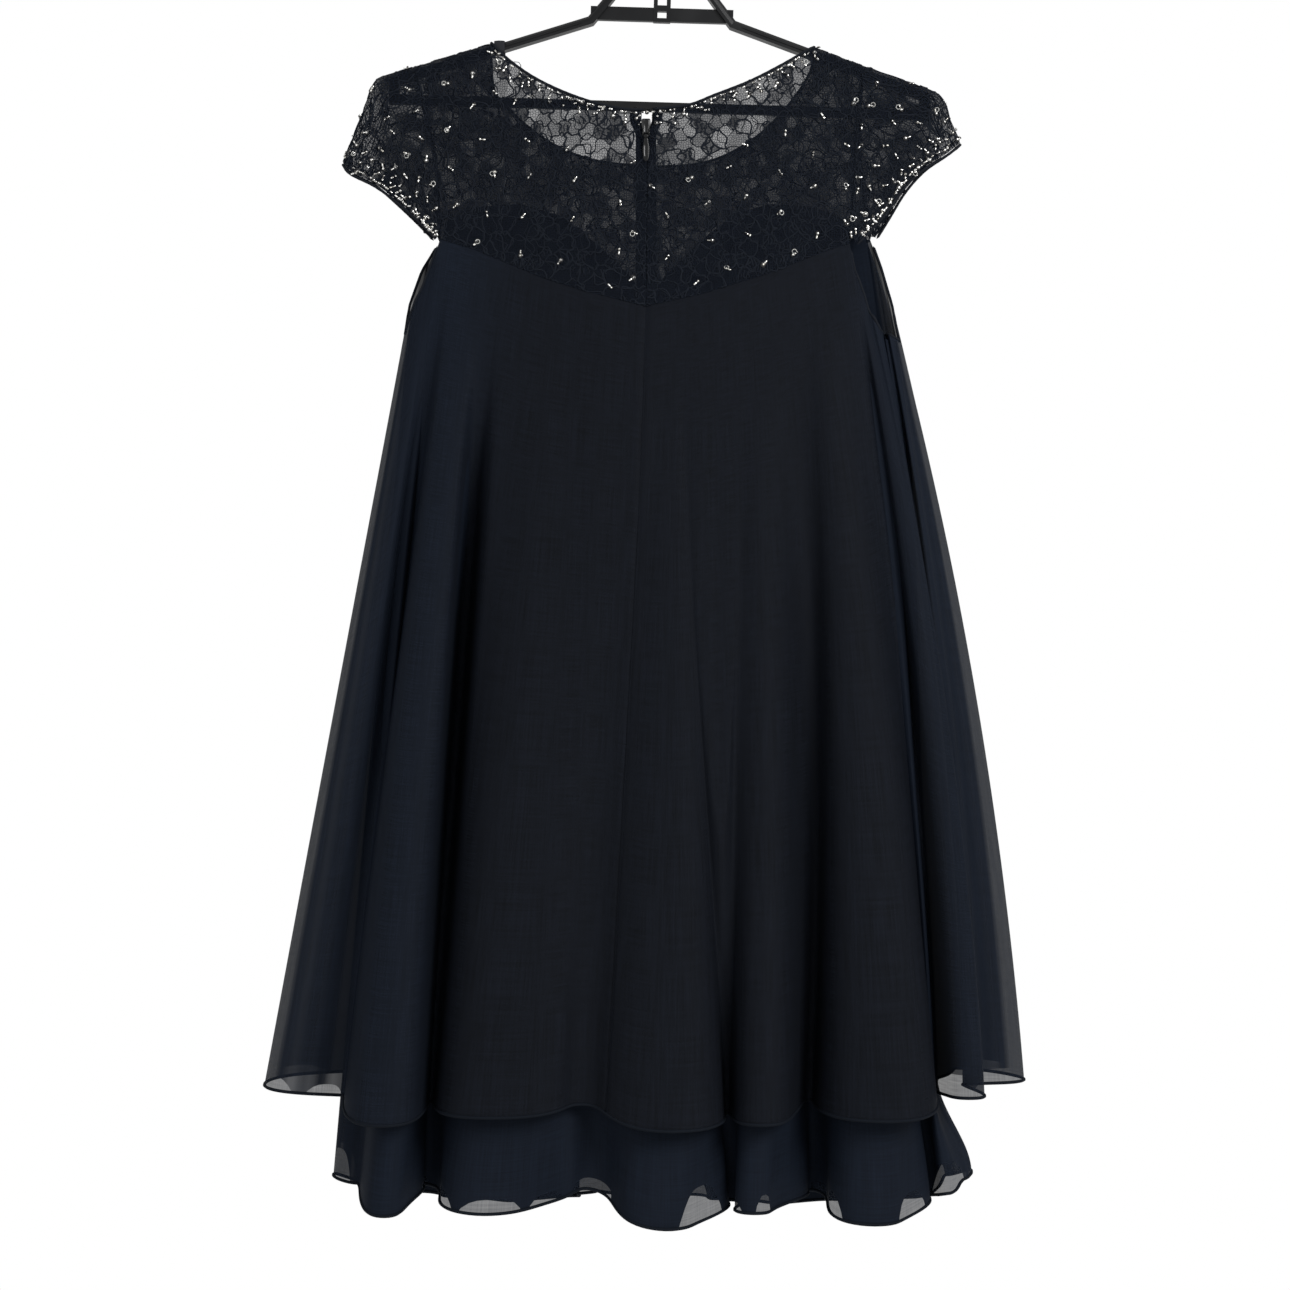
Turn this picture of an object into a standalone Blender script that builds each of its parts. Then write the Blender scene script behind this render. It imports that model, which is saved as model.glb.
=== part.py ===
"""A cocktail dress on a hanger: a lace yoke with cap sleeves, and a fluted skirt over a longer under layer.

Sizes and tables are in millimetres, and meshes are scaled to metres when they are made. The back of the
dress faces -Y, +X is to the right of whoever looks at that back, and the origin is the inside top of the
hanger's hook. A cloth surface is worked out as its outer face; its wall lies on the inner side of it.
"""

import math

import bpy
import numpy as np

metresPerMm = 0.001

# Cloth
wall = 1.2  # of every cloth piece
seamGap = 0.4  # between pieces sewn edge to edge
yokeLift = 0.35  # of the yoke above the V seam, and of the skirt below it
layerGap = 0.4  # between a layer and the layer it is sewn under
hangerGap = 0.8  # between the cloth and the hanger's arm below it
sideInset = 2.8  # how far the under layer's sides lie in from the outer layer's at the underarm
armholeDrop = 3.0  # of the under layer's edge along the armholes
centreX = -16.8  # of the upper body, as it hangs

# Shoulder fold: the cloth goes over the hanger's arm round this radius, then widens downwards
foldRadius = 7.0
widening = 0.10  # added half-depth for each millimetre of height
sideFlattening = 0.55  # share of that widening lost at the armholes
halfChest = 170.0
foldShare = 0.4  # share of a cloth strip's steps spent on going round the fold

# Hanger, in its own upright frame
hangerTilt = math.radians(1.7)
hookRadius = 20.0  # inside
hookWire = 3.0  # radius of the hook's round bar
armInner = (59.0, -139.0)  # x and z of the arm's top edge at the neck
armOuter = (216.0, -192.3)
armRadius = 5.1  # of the arm's round top, which is also half its depth
armHeight = 7.5
lowerBarTop = -206.2
lowerBarHeight = 7.6
lowerBarDepth = 4.0
endWidth = 8.0  # of the post that joins an arm to the lower bar
crossBarTop = -131.0
crossBarHeight = 10.8
crossBarDepth = 5.0
strutWidth = 13.6
slotWidth = 7.2
slotRim = 2.6  # plastic left above and below the slot in the cross bar
upperSlot = (2.0, 22.0)  # the upper slot's ends, above the cross bar and below the hook's foot
hookBase = -66.0  # height at which the neck members meet the hook
neckFoot = (9.0, 8.0)  # start of a neck member, beside and below the hook's foot
neckKnee = (47.0, -124.0)  # where a neck member turns out to the arm
hookFoot = ((0, -12), (0, 6), (2.6, 14), (8.5, 21.5))  # the hook's stem above its foot, as (x, z)
hookTurn = (-50, 208)  # degrees round the hook, from its stem to its tip

# Yoke edges, seen from the back: rows of (x, z) from the centre outwards
zipTop = -213.4
backNeckLeft = (
    (-15.2, -213.4), (-33.5, -213.0), (-59.0, -207.4), (-84.4, -197.9), (-107.5, -185.9), (-127.0, -171.5),
)
backNeckRight = (
    (-15.2, -213.4), (15.8, -209.8), (37.3, -201.6), (64.3, -190.7), (87.3, -178.8), (105.0, -168.6),
)
frontNeck = (
    (-139.8, -178.0), (-136.2, -198.0), (-125.4, -209.5), (-108.5, -224.0), (-88.4, -237.0), (-59.0, -247.8),
    (-16.0, -253.2), (21.0, -251.4), (46.8, -244.2), (71.7, -229.7), (88.6, -214.4), (104.0, -196.0),
    (114.5, -178.0),
)
neckShoulderX = (-139.5, 116.8)
sleeveShoulderX = (-202.4, 157.6)

# Armhole seams below the shoulder: rows of (x, z), the last is the corner of the yoke
backArmSeams = (
    ((-186.2, -244.0), (-183.1, -277.4), (-180.5, -318.1)),
    ((151.5, -212.5), (148.6, -270.0), (145.3, -321.3)),
)
frontArmSeams = (
    ((-187.5, -244.0), (-184.5, -277.4), (-183.0, -318.0)),
    ((155.0, -212.5), (156.5, -268.0), (164.0, -316.0)),
)

# Top edges of the skirt from armhole to armhole, seen from the back: rows of (x, z)
backTopEdge = (
    (-210.5, -392.0), (-200.4, -366.8), (-194.7, -356.9), (-186.5, -335.7), (-180.5, -318.1),
    (-152.5, -326.8), (-125.0, -338.6), (-98.7, -350.0), (-67.0, -360.5), (-16.8, -373.2), (29.0, -362.8), (78.8, -346.8),
    (103.5, -336.8), (129.2, -326.5), (145.3, -321.3), (149.7, -344.4), (157.1, -364.0), (161.0, -377.0),
    (170.0, -390.0), (187.0, -398.0),
)
frontTopEdge = (
    (-210.5, -392.0), (-207.5, -372.0), (-196.0, -340.0), (-183.0, -318.0), (-150.0, -328.5), (-98.7, -350.0),
    (-16.8, -373.2), (78.8, -346.8), (135.0, -325.0), (164.0, -316.0), (172.8, -340.8), (182.4, -372.8),
    (187.0, -398.0),
)
# The under front's top, inside the front yoke: rows of (x, z) from corner to corner
sweetheartEdge = (
    (-178.0, -300.0), (-154.6, -287.5), (-118.3, -284.5), (-86.0, -293.6), (-53.9, -317.8), (-29.7, -341.9),
    (-16.8, -355.6), (-1.5, -341.9), (26.7, -313.7), (54.9, -292.0), (83.1, -284.5), (119.4, -288.0),
    (158.0, -304.0),
)
bodiceRows = 4

# Skirt folds, once round from the centre back by the left side and the front: a row for each crest or
# valley at the hem. heading is the way the cloth runs there (180 is -X), reach is how far it keeps that
# way, start is the share of the height at which the fold begins, bow its sideways curve at mid-height.
foldColumns = ("name", "hemX", "hemY", "hemZ", "heading", "reach", "start", "topX", "bow")
outerFolds = (
    ("centre crest", 3, -104, -1010, 180, 150, 0.10, 8, 0),
    ("centre dip", -66, -72, -995, 180, 60, 0.30, -32, 0),
    ("left centre crest", -136, -92, -1002, 180, 172, 0.10, -80, 0),
    ("left valley", -187, -30, -1000, 180, 26, 0.10, -125, -7),
    ("left crest", -220, -92, -1008, 180, 130, 0.06, -154, -4),
    ("left side valley", -257, -24, -996, 180, 30, 0.03, -180.5, -1),
    ("left side", -321.6, 2, -991, 90, 140, 0.00, -210.5, 0),
    ("front left side valley", -256, 32, -995, 0, 30, 0.02, -183, 0),
    ("front left crest", -214, 90, -1002, 0, 120, 0.08, -150, 0),
    ("front left valley", -170, 34, -998, 0, 30, 0.15, -122, 0),
    ("front crest 2", -108, 98, -1005, 0, 170, 0.10, -84, 0),
    ("front dip", -58, 54, -998, 0, 35, 0.35, -48, 0),
    ("front crest 3", -4, 100, -1006, 0, 150, 0.10, -16.8, 0),
    ("front valley 3", 50, 38, -998, 0, 30, 0.20, 34, 0),
    ("front crest 4", 108, 97, -1005, 0, 160, 0.10, 82, 4),
    ("front right valley", 160, 34, -997, 0, 28, 0.12, 118, 8),
    ("front right crest", 204, 84, -1002, 0, 110, 0.06, 143, 10),
    ("front right side valley", 238, 42, -994, 0, 25, 0.02, 164, 12),
    ("right side", 287.2, 18, -990, 270, 70, 0.00, 187, 13),
    ("right side valley", 236, -8, -990, 190, 25, 0.00, 176, 13),
    ("right side crest", 238, -56, -993, 190, 80, 0.00, 160.8, 14),
    ("right valley", 213, -14, -995, 180, 25, 0.05, 145.3, 8),
    ("right crest", 168, -90, -1005, 180, 185, 0.06, 113, 8),
    ("right centre valley", 112.3, -22, -1000, 180, 28, 0.10, 93, 12),
    ("right centre crest", 72.6, -94, -1007, 180, 92, 0.12, 62, 5),
    ("centre valley", 46.4, -50, -1006, 180, 22, 0.66, 30, 0),
)
underFolds = (
    ("centre crest", 3, -88, -1088, 180, 120, 0.10, 8, 0),
    ("centre dip", -66, -58, -1063, 180, 55, 0.30, -32, 0),
    ("left centre crest", -136, -76, -1079, 180, 140, 0.10, -80, 0),
    ("left valley", -194, -16, -1068, 180, 30, 0.10, -125, -7),
    ("left crest", -219, -70, -1082, 180, 84, 0.06, -154, -4),
    ("left side valley", -247, -12, -1068, 180, 26, 0.03, -180.5, -1),
    ("left side", -267, 3, -1064, 90, 36, 0.00, -210.5, 0),
    ("front left side valley", -247, 20, -1072, 0, 26, 0.02, -183, 0),
    ("front left crest", -214, 72, -1092, 0, 84, 0.08, -150, 0),
    ("front left valley", -170, 24, -1086, 0, 34, 0.15, -122, 0),
    ("front crest 2", -108, 80, -1100, 0, 135, 0.10, -84, 0),
    ("front dip", -58, 42, -1086, 0, 40, 0.35, -48, 0),
    ("front crest 3", -4, 82, -1098, 0, 120, 0.10, -16.8, 0),
    ("front valley 3", 50, 27, -1088, 0, 34, 0.20, 34, 0),
    ("front crest 4", 108, 79, -1102, 0, 125, 0.10, 82, 4),
    ("front right valley", 160, 24, -1088, 0, 32, 0.12, 118, 8),
    ("front right crest", 203, 68, -1096, 0, 78, 0.06, 143, 10),
    ("front right side valley", 228, 32, -1070, 0, 20, 0.02, 164, 12),
    ("right side", 244, 12, -1062, 270, 30, 0.00, 187, 13),
    ("right side valley", 228, -2, -1062, 190, 16, 0.00, 176, 13),
    ("right side crest", 231, -38, -1066, 190, 40, 0.00, 160.8, 13),
    ("right valley", 219, 1, -1070, 180, 22, 0.05, 145.3, 8),
    ("right crest", 165, -72, -1088, 180, 128, 0.06, 113, 8),
    ("right centre valley", 112, -10, -1074, 180, 33, 0.10, 93, 12),
    ("right centre crest", 73, -76, -1078, 180, 76, 0.12, 62, 5),
    ("centre valley", 46, -40, -1076, 180, 26, 0.66, 30, 0),
)
foldCount = len(outerFolds)
foldGrowth = 1.15  # power by which a fold deepens towards the hem
restHalfWidth = 312.0  # of the oval that the hem would hang in without its folds
restHalfDepth = 88.0
underDepthLess = 16.0  # how much less deep the under layer's oval is
restCentreX = -17.0
zipFold = 0.62  # place of the centre back seam along the folds
leftSideFold = 6
rightSideFold = 18
backCornerFolds = (5, 21)  # where each layer's edge turns down into the armholes
frontCornerFolds = (7, 17)
stepsPerFold = 5  # columns from a crest to the next valley
skirtRows = 8

# The under layer's hem is rippled
rippleDepth = 6.5
rippleStart = 0.86

# Zip
zipEnd = -718.0
zipPartedTop = 4.8  # half of the gap above the slider
zipPartedFrom = -235.8
zipPartedTo = -221.3
tapeWidth = 8.0
tapeThickness = 0.8
tapeTopTurn = 2.6  # length of tape turned in under the neck binding
sliderTop = -222.4
sliderBottom = -234.3
sliderHalfWidths = (3.4, 3.8, 2.6)  # at its top, its shoulder and its bottom
sliderShoulder = 3.0  # how far the shoulder lies below the top
sliderFaceLift = 1.4  # of the pin's middle off the slider's face
earX = (2.0, 2.8)  # inner and outer face of each ear beside the pull
earRise = 3.0  # height of the ear's root on the slider's face
pinHeight = -236.6
pinY = -19.6
pinRadius = 0.6
pinHalfLength = 2.4
eyeRadius = 1.0  # of the hole in the pull, round the pin
knuckleRadius = 1.9
pullNeck = 1.6  # half-width of the pull at its eye
pullLength = 20.0
pullWidth = 5.2
pullTipWidth = 1.6
pullThickness = 1.2

bindingRadius = 1.1
bindingEndShare = 0.05  # how far an armhole binding stops before the yoke's corner, along the folds
neckBindingLift = 0.3  # of its middle off the cloth's face, which keeps it clear of the hanger
hookAndEyeRadius = 0.6
hookReach = 4.0  # of the hook and of the eye past the zip's parted edges
hookSag = 0.6
tabX = (-133.6, -127.0)  # of the loop of tape beside the left shoulder
tabThickness = 0.8

# Steps of the upper pieces' surfaces
neckSteps = 13
shoulderSteps = 4
yokeRows = 9
sleeveHalfSteps = 8
sleeveCells = 6

# Sleeves: each one's fold from the shoulder to its tip, and its hem from the tip to the underarm, as (x, z)
sleeveFolds = (
    ((-226.0, -184.6), (-234.5, -190.1), (-240.0, -205.0), (-251.2, -233.6), (-259.2, -254.4)),
    ((189.6, -188.6), (213.5, -197.3), (222.5, -207.0), (226.5, -219.0), (230.5, -228.0), (234.5, -238.4)),
)
backHems = (
    ((-252.1, -262.7), (-232.1, -273.1), (-213.5, -286.9), (-194.4, -304.0), (-183.5, -315.5)),
    ((222.7, -248.0), (204.0, -259.5), (187.0, -276.0), (172.0, -297.0), (150.0, -320.5)),
)
frontHems = (
    ((-252.1, -260.7), (-232.1, -271.1), (-214.5, -285.9), (-197.4, -302.0), (-186.5, -313.5)),
    ((222.7, -247.0), (206.0, -258.5), (191.0, -275.0), (178.0, -295.8), (167.5, -312.5)),
)
sleeveHemRadius = 4.5
sleeveEndLift = 8.0  # length of a sleeve's short end beside the yoke's corner


# Curves


def column(table, name):
    """A fold table's column as an array."""
    index = foldColumns.index(name)
    return np.array([row[index] for row in table], float)


def smooth(t):
    """0 to 1 with level ends."""
    t = np.clip(t, 0.0, 1.0)
    return t * t * (3 - 2 * t)


def hermite(t, start, startSlope, end, endSlope):
    """Cubic between two values with their slopes."""
    return (
        (2 * t**3 - 3 * t**2 + 1) * start + (t**3 - 2 * t**2 + t) * startSlope
        + (3 * t**2 - 2 * t**3) * end + (t**3 - t**2) * endSlope
    )


def loopThrough(values, slopes, place):
    """Closed smooth curve whose row i is reached at place i."""
    count = len(values)
    index = np.floor(place).astype(int)
    return hermite(
        (place - index)[..., None], values[index % count], slopes[index % count],
        values[(index + 1) % count], slopes[(index + 1) % count],
    )


def evenSlopes(values):
    """Slopes at each row that run parallel to its two neighbours."""
    return (np.roll(values, -1, axis=0) - np.roll(values, 1, axis=0)) / 2


def pathThrough(points, share):
    """Points at shares 0 to 1 of an open smooth path's length."""
    points = np.array(points, float)
    padded = np.vstack([2 * points[0] - points[1], points, 2 * points[-1] - points[-2]])
    slopes = (padded[2:] - padded[:-2]) / 2
    fine = np.linspace(0, len(points) - 1, 24 * len(points))
    index = np.minimum(fine.astype(int), len(points) - 2)
    t = (fine - index)[:, None]
    curve = hermite(t, points[index], slopes[index], points[index + 1], slopes[index + 1])
    length = np.concatenate([[0], np.cumsum(np.linalg.norm(np.diff(curve, axis=0), axis=1))])
    wanted = np.asarray(share) * length[-1]
    return np.stack([np.interp(wanted, length, curve[:, i]) for i in range(points.shape[1])], axis=-1)


def unit(vectors):
    return vectors / np.linalg.norm(vectors, axis=-1, keepdims=True)


# The hanger's line, and the upper body that hangs from it


def tilted(x, z):
    """A point of the upright hanger, in the dress's frame."""
    return (
        x * math.cos(hangerTilt) + z * math.sin(hangerTilt),
        z * math.cos(hangerTilt) - x * math.sin(hangerTilt),
    )


armCorners = [
    tilted(-armOuter[0], armOuter[1]), tilted(-armInner[0], armInner[1]), tilted(*armInner),
    tilted(*armOuter),
]
armCornerX = [corner[0] for corner in armCorners]
armCornerZ = [corner[1] for corner in armCorners]


def shoulderLine(x):
    """Height of the cloth's outer face where it lies on the hanger's arms."""
    return np.interp(x, armCornerX, armCornerZ) + hangerGap + wall


def bodyDepth(x, z):
    """Half-depth of the upper body: round over the arm, then widening downwards."""
    below = np.maximum(shoulderLine(x) - z, 0.0)
    flat = 1 - sideFlattening * np.clip(np.abs(x - centreX) / halfChest, 0, 1.1) ** 2
    rounded = np.sqrt(np.maximum(foldRadius**2 - (foldRadius - np.minimum(below, foldRadius)) ** 2, 0.0))
    return rounded + widening * flat * np.maximum(below - foldRadius, 0.0)


def bodyNormal(x, z, side):
    """Outward direction of the upper body's surface; side is -1 for the back and +1 for the front."""
    step = 0.05
    below = shoulderLine(x) - z
    slopeX = (bodyDepth(x + step, z) - bodyDepth(x - step, z)) / (2 * step)
    slopeZ = (bodyDepth(x, z + step) - bodyDepth(x, z - step)) / (2 * step)
    plain = unit(np.stack([-slopeX, side * np.ones_like(x), -slopeZ], axis=-1))
    up = np.clip(1 - below / foldRadius, 0, 1)
    onFold = np.stack([np.zeros_like(x), side * np.sqrt(1 - up**2), up], axis=-1)
    return np.where((below < foldRadius)[..., None], onFold, plain)


def foldSteps(count):
    """Progress along a strip that starts on a fold: (angle round the fold, share of the rest)."""
    step = np.linspace(0, 1, count)
    return np.minimum(step / foldShare, 1) * math.pi / 2, np.clip((step - foldShare) / (1 - foldShare), 0, 1)


# Meshes


def material(name, colour, roughness, metallic=0.0):
    made = bpy.data.materials.new(name)
    made.use_nodes = True
    shader = made.node_tree.nodes["Principled BSDF"]
    shader.inputs["Base Color"].default_value = (*colour, 1.0)
    shader.inputs["Roughness"].default_value = roughness
    shader.inputs["Metallic"].default_value = metallic
    return made


def addObject(name, points, faces, look):
    """An object from millimetre points, turned so that its faces point out."""
    points = np.asarray(points, float) * metresPerMm
    corners = [points[[face[0], a, b]] for face in faces for a, b in zip(face[1:], face[2:])]
    if np.linalg.det(np.array(corners)).sum() < 0:
        faces = [face[::-1] for face in faces]
    mesh = bpy.data.meshes.new(name)
    mesh.from_pydata(points.tolist(), [], [tuple(int(i) for i in face) for face in faces])
    mesh.materials.append(look)
    mesh.shade_smooth()
    mesh.set_sharp_from_angle(angle=math.radians(40))
    made = bpy.data.objects.new(name, mesh)
    bpy.context.scene.collection.objects.link(made)
    return made


def addCloth(name, outer, inner, look):
    """A cloth panel from the grid of its outer face and the matching grid of its inner face."""
    rows, columns = outer.shape[:2]
    number = np.arange(rows * columns).reshape(rows, columns)
    front, back = number, number + rows * columns
    faces = []
    for r in range(rows - 1):
        for c in range(columns - 1):
            a, b, d, e = front[r, c], front[r, c + 1], front[r + 1, c + 1], front[r + 1, c]
            faces += [(a, b, d), (a, d, e)]
            a, b, d, e = back[r, c], back[r, c + 1], back[r + 1, c + 1], back[r + 1, c]
            faces += [(a, d, b), (a, e, d)]
    rim = [*number[0, :-1], *number[:-1, -1], *number[-1, :0:-1], *number[:0:-1, 0]]
    for a, b in zip(rim, rim[1:] + rim[:1]):
        faces += [(a, a + rows * columns, b + rows * columns), (a, b + rows * columns, b)]
    return addObject(name, np.vstack([outer.reshape(-1, 3), inner.reshape(-1, 3)]), faces, look)


def addRod(name, path, radius, sides, look, depthAxis=(0.0, 1.0, 0.0)):
    """A round rod along a path of points, capped at both ends."""
    path = np.asarray(path, float)
    along = unit(np.gradient(path, axis=0))
    across = unit(np.cross(along, np.asarray(depthAxis)))
    third = np.cross(along, across)
    turn = np.arange(sides) * 2 * math.pi / sides
    ring = across[:, None] * np.cos(turn)[None, :, None] + third[:, None] * np.sin(turn)[None, :, None]
    points = (path[:, None] + radius * ring).reshape(-1, 3)
    faces = []
    for i in range(len(path) - 1):
        for j in range(sides):
            a, b = i * sides + j, i * sides + (j + 1) % sides
            faces += [(a, b, b + sides), (a, b + sides, a + sides)]
    faces += [tuple(range(sides))[::-1], tuple(range(len(points) - sides, len(points)))]
    return addObject(name, points, faces, look)


def addPrism(name, outline, low, high, look, depth=1):
    """A prism from an outline in the two other axes, between two places on the depth axis (1 is Y)."""
    flat = np.asarray(outline, float)
    ends = []
    for place in (low, high):
        ends.append(np.insert(flat, depth, place, axis=1))
    count = len(flat)
    faces = [tuple(range(count))[::-1], tuple(range(count, 2 * count))]
    faces += [(i, (i + 1) % count, count + (i + 1) % count, count + i) for i in range(count)]
    return addObject(name, np.vstack(ends), faces, look)


def joinTo(body, others):
    """Each of the others fused to the body, and kept out of the model itself."""
    for other in others:
        union = body.modifiers.new("join " + other.name, "BOOLEAN")
        union.operation = "UNION"
        union.object = other
        other.hide_render = True
        other.display_type = "WIRE"


def cutFrom(body, cutters):
    for cutter in cutters:
        cut = body.modifiers.new("cut " + cutter.name, "BOOLEAN")
        cut.operation = "DIFFERENCE"
        cut.object = cutter
        cutter.hide_render = True
        cutter.display_type = "WIRE"


# Skirt


def movedIn(layer, x):
    """A place across the upper body, moved in for the under layer."""
    return x - layer["sideInset"] * np.clip((x - centreX) / halfChest, -1, 1)


def topEdge(layer, place):
    """Points of a layer's top edge along its folds: level with the yoke, then down the armholes."""
    outerX = column(layer["folds"], "topX")
    around = place % len(outerX)
    x = np.interp(around, np.arange(len(outerX) + 1), np.append(outerX, outerX[0]))
    points = []
    for side, edge, corners in ((-1, backTopEdge, backCornerFolds), (1, frontTopEdge, frontCornerFolds)):
        edgeX, edgeZ = np.array(edge).T
        z = np.interp(x, edgeX, edgeZ)
        left, right = sorted(outerX[list(corners)])
        inset = layer["inset"] * (1 + 0.6 * np.abs(x - centreX) / halfChest)
        depth = bodyDepth(x, z) - inset
        for corner, end in ((left, edgeX[0]), (right, edgeX[-1])):
            past = np.clip((x - corner) / (end - corner), 0, 1)
            cornerDepth = bodyDepth(corner, np.interp(corner, edgeX, edgeZ)) - 1.6 * layer["inset"]
            depth = np.where(past > 0, cornerDepth * np.sqrt(1 - past), depth)
            z = z - layer["armholeDrop"] * (past > 0)
        points.append(np.stack([movedIn(layer, x), side * depth, z - layer["drop"]], axis=-1))
    isFront = (around > leftSideFold) & (around < rightSideFold)
    return np.where(isFront[..., None], points[1], points[0])


def skirtPoint(layer, place, height):
    """Outer face of a layer: place counts folds round it, height is 0 at the top and 1 at the hem."""
    folds = layer["folds"]
    place, height = np.broadcast_arrays(np.asarray(place, float), np.asarray(height, float))
    hem = np.stack([column(folds, "hemX"), column(folds, "hemY")], axis=1)
    heading = np.radians(column(folds, "heading"))
    slopes = column(folds, "reach")[:, None] * np.stack([np.cos(heading), np.sin(heading)], axis=1)
    number = np.arange(len(folds))
    isFront = (number > leftSideFold) & (number < rightSideFold)
    share = np.clip(np.abs(hem[:, 0] - restCentreX) / restHalfWidth, 0, 0.97)
    rest = hem.copy()
    rest[:, 1] = np.where(isFront, 1, -1) * layer["restDepth"] * np.sqrt(1 - share**2)
    atSide = (number == leftSideFold) | (number == rightSideFold)
    rest[atSide] = hem[atSide]
    folded = loopThrough(hem, slopes, place)
    unfolded = loopThrough(rest, evenSlopes(rest), place)
    level = {}
    for name in ("hemZ", "start"):
        values = column(folds, name)[:, None]
        level[name] = loopThrough(values, values * 0, place)[..., 0]
    bow = column(folds, "bow")[:, None]
    bowed = loopThrough(bow, evenSlopes(bow), place)[..., 0]
    grown = np.clip((height - level["start"]) / (1 - level["start"]), 0, 1) ** foldGrowth
    top = topEdge(layer, place)
    flat = top[..., :2] + (unfolded - top[..., :2]) * height[..., None]
    flat = flat + (folded - unfolded) * grown[..., None]
    x = flat[..., 0] + bowed * 4 * height * (1 - height)
    z = top[..., 2] + (level["hemZ"] - top[..., 2]) * height
    return np.stack([x, flat[..., 1], z], axis=-1)


def skirtNormal(layer, place, height):
    """Outward direction of a skirt layer."""
    step = 0.004
    low, high = np.clip(height - step, 0, 1), np.clip(height + step, 0, 1)
    along = skirtPoint(layer, place + step, height) - skirtPoint(layer, place - step, height)
    down = skirtPoint(layer, place, high) - skirtPoint(layer, place, low)
    return unit(np.cross(along, down))


def rippled(layer, place, height):
    """A skirt layer's outer face with the small ripples of its hem."""
    points = skirtPoint(layer, place, height)
    depth = layer["ripple"] * smooth((height - rippleStart) / (1 - rippleStart))
    return points + (depth * np.sin(2 * math.pi * place))[..., None] * skirtNormal(layer, place, height)


def besideSeam(layer, place, height, distance):
    """The place at a distance along the cloth from a seam, at each height."""
    step = 0.05
    run = skirtPoint(layer, place + step, height) - skirtPoint(layer, place - step, height)
    return place + distance * 2 * step / np.linalg.norm(run, axis=-1)


def bodice(layer, places):
    """Rows of the under front above the skirt's seam, up to its sweetheart top."""
    edge = topEdge(layer, places)
    edgeX, edgeZ = np.array(sweetheartEdge).T
    onBody = (places >= frontCornerFolds[0]) & (places <= frontCornerFolds[1])
    x = np.where(onBody, np.clip(edge[:, 0], edgeX[0], edgeX[-1]), edge[:, 0])
    z = np.where(onBody, np.interp(x, edgeX, edgeZ), edge[:, 2] + armholeDrop)
    share = np.linspace(1, 0, bodiceRows)[:-1, None]
    rowX = edge[:, 0] + (x - edge[:, 0]) * share
    rowZ = edge[:, 2] + (z - edge[:, 2]) * share
    inset = layer["inset"] * (1 + 0.6 * np.abs(rowX - centreX) / halfChest)
    depth = np.where(onBody, bodyDepth(rowX, rowZ) - inset, edge[:, 1])
    outer = np.stack([rowX, depth, rowZ], axis=-1)
    edgeNormal = skirtNormal(layer, places, np.zeros_like(places))
    normal = np.where(onBody[:, None], bodyNormal(rowX, rowZ, 1), edgeNormal)
    return outer, outer - wall * normal


def addSkirtPanel(name, layer, start, end, shift, look):
    """The stretch of a skirt layer between two seams, where start and end give a place for each height."""
    height = np.linspace(0, 1, skirtRows)
    first, last = start(height), end(height)
    count = int(round((last[-1] - first[-1]) * stepsPerFold)) + 1
    share = np.linspace(0, 1, count)
    places = first[:, None] + (last - first)[:, None] * share
    heights = np.broadcast_to(height[:, None], places.shape)
    outer = rippled(layer, places, heights)
    inner = outer - wall * skirtNormal(layer, places, heights)
    if name == "under_front":
        above = bodice(layer, places[0])
        outer, inner = np.vstack([above[0], outer]), np.vstack([above[1], inner])
    for grid in (outer, inner):
        for edge, side in zip((0, -1), shift):
            grid[:, edge, 1] += side * seamGap / 2
    return addCloth(name, outer, inner, look)


# Yoke


def zipParting(z):
    """Half of the gap between the two backs at the zip, which is open above its slider."""
    return seamGap / 2 + zipPartedTop * smooth((z - zipPartedFrom) / (zipPartedTo - zipPartedFrom))


def offsetPath(points, distance):
    """Points of a path in x and z moved to its right-hand side."""
    along = unit(np.gradient(points, axis=0))
    return points + distance * np.stack([along[:, 1], -along[:, 0]], axis=1)


def neckLine(neck, which, distance):
    """A neckline from the centre to the shoulder, moved away from the neck."""
    neckX, sign = neckShoulderX[which], (-1, 1)[which]
    # Closer steps towards the shoulder, where the cloth turns over the hanger's arm
    share = 1 - np.linspace(1, 0, neckSteps) ** 1.8
    line = pathThrough([*neck, (neckX, float(shoulderLine(neckX)))], share)
    moved = offsetPath(line, sign * distance)
    moved[-1, 0] = neckX + sign * distance
    moved[-1, 1] = shoulderLine(moved[-1, 0])
    return moved


def yokeTop(neck, which):
    """Top edge of a yoke from the centre to the armhole, below its binding."""
    edge = neckLine(neck, which, 2 * (bindingRadius + layerGap))
    shoulder = np.linspace(edge[-1, 0], sleeveShoulderX[which], shoulderSteps)
    return np.vstack([edge, np.stack([shoulder, shoulderLine(shoulder)], axis=1)[1:]])


def armSeam(seams, which):
    """An armhole seam of the yoke as closely spaced points from the shoulder to the yoke's corner."""
    x = sleeveShoulderX[which]
    return pathThrough([(x, float(shoulderLine(x))), *seams[which]], np.linspace(0, 1, 121))


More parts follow.
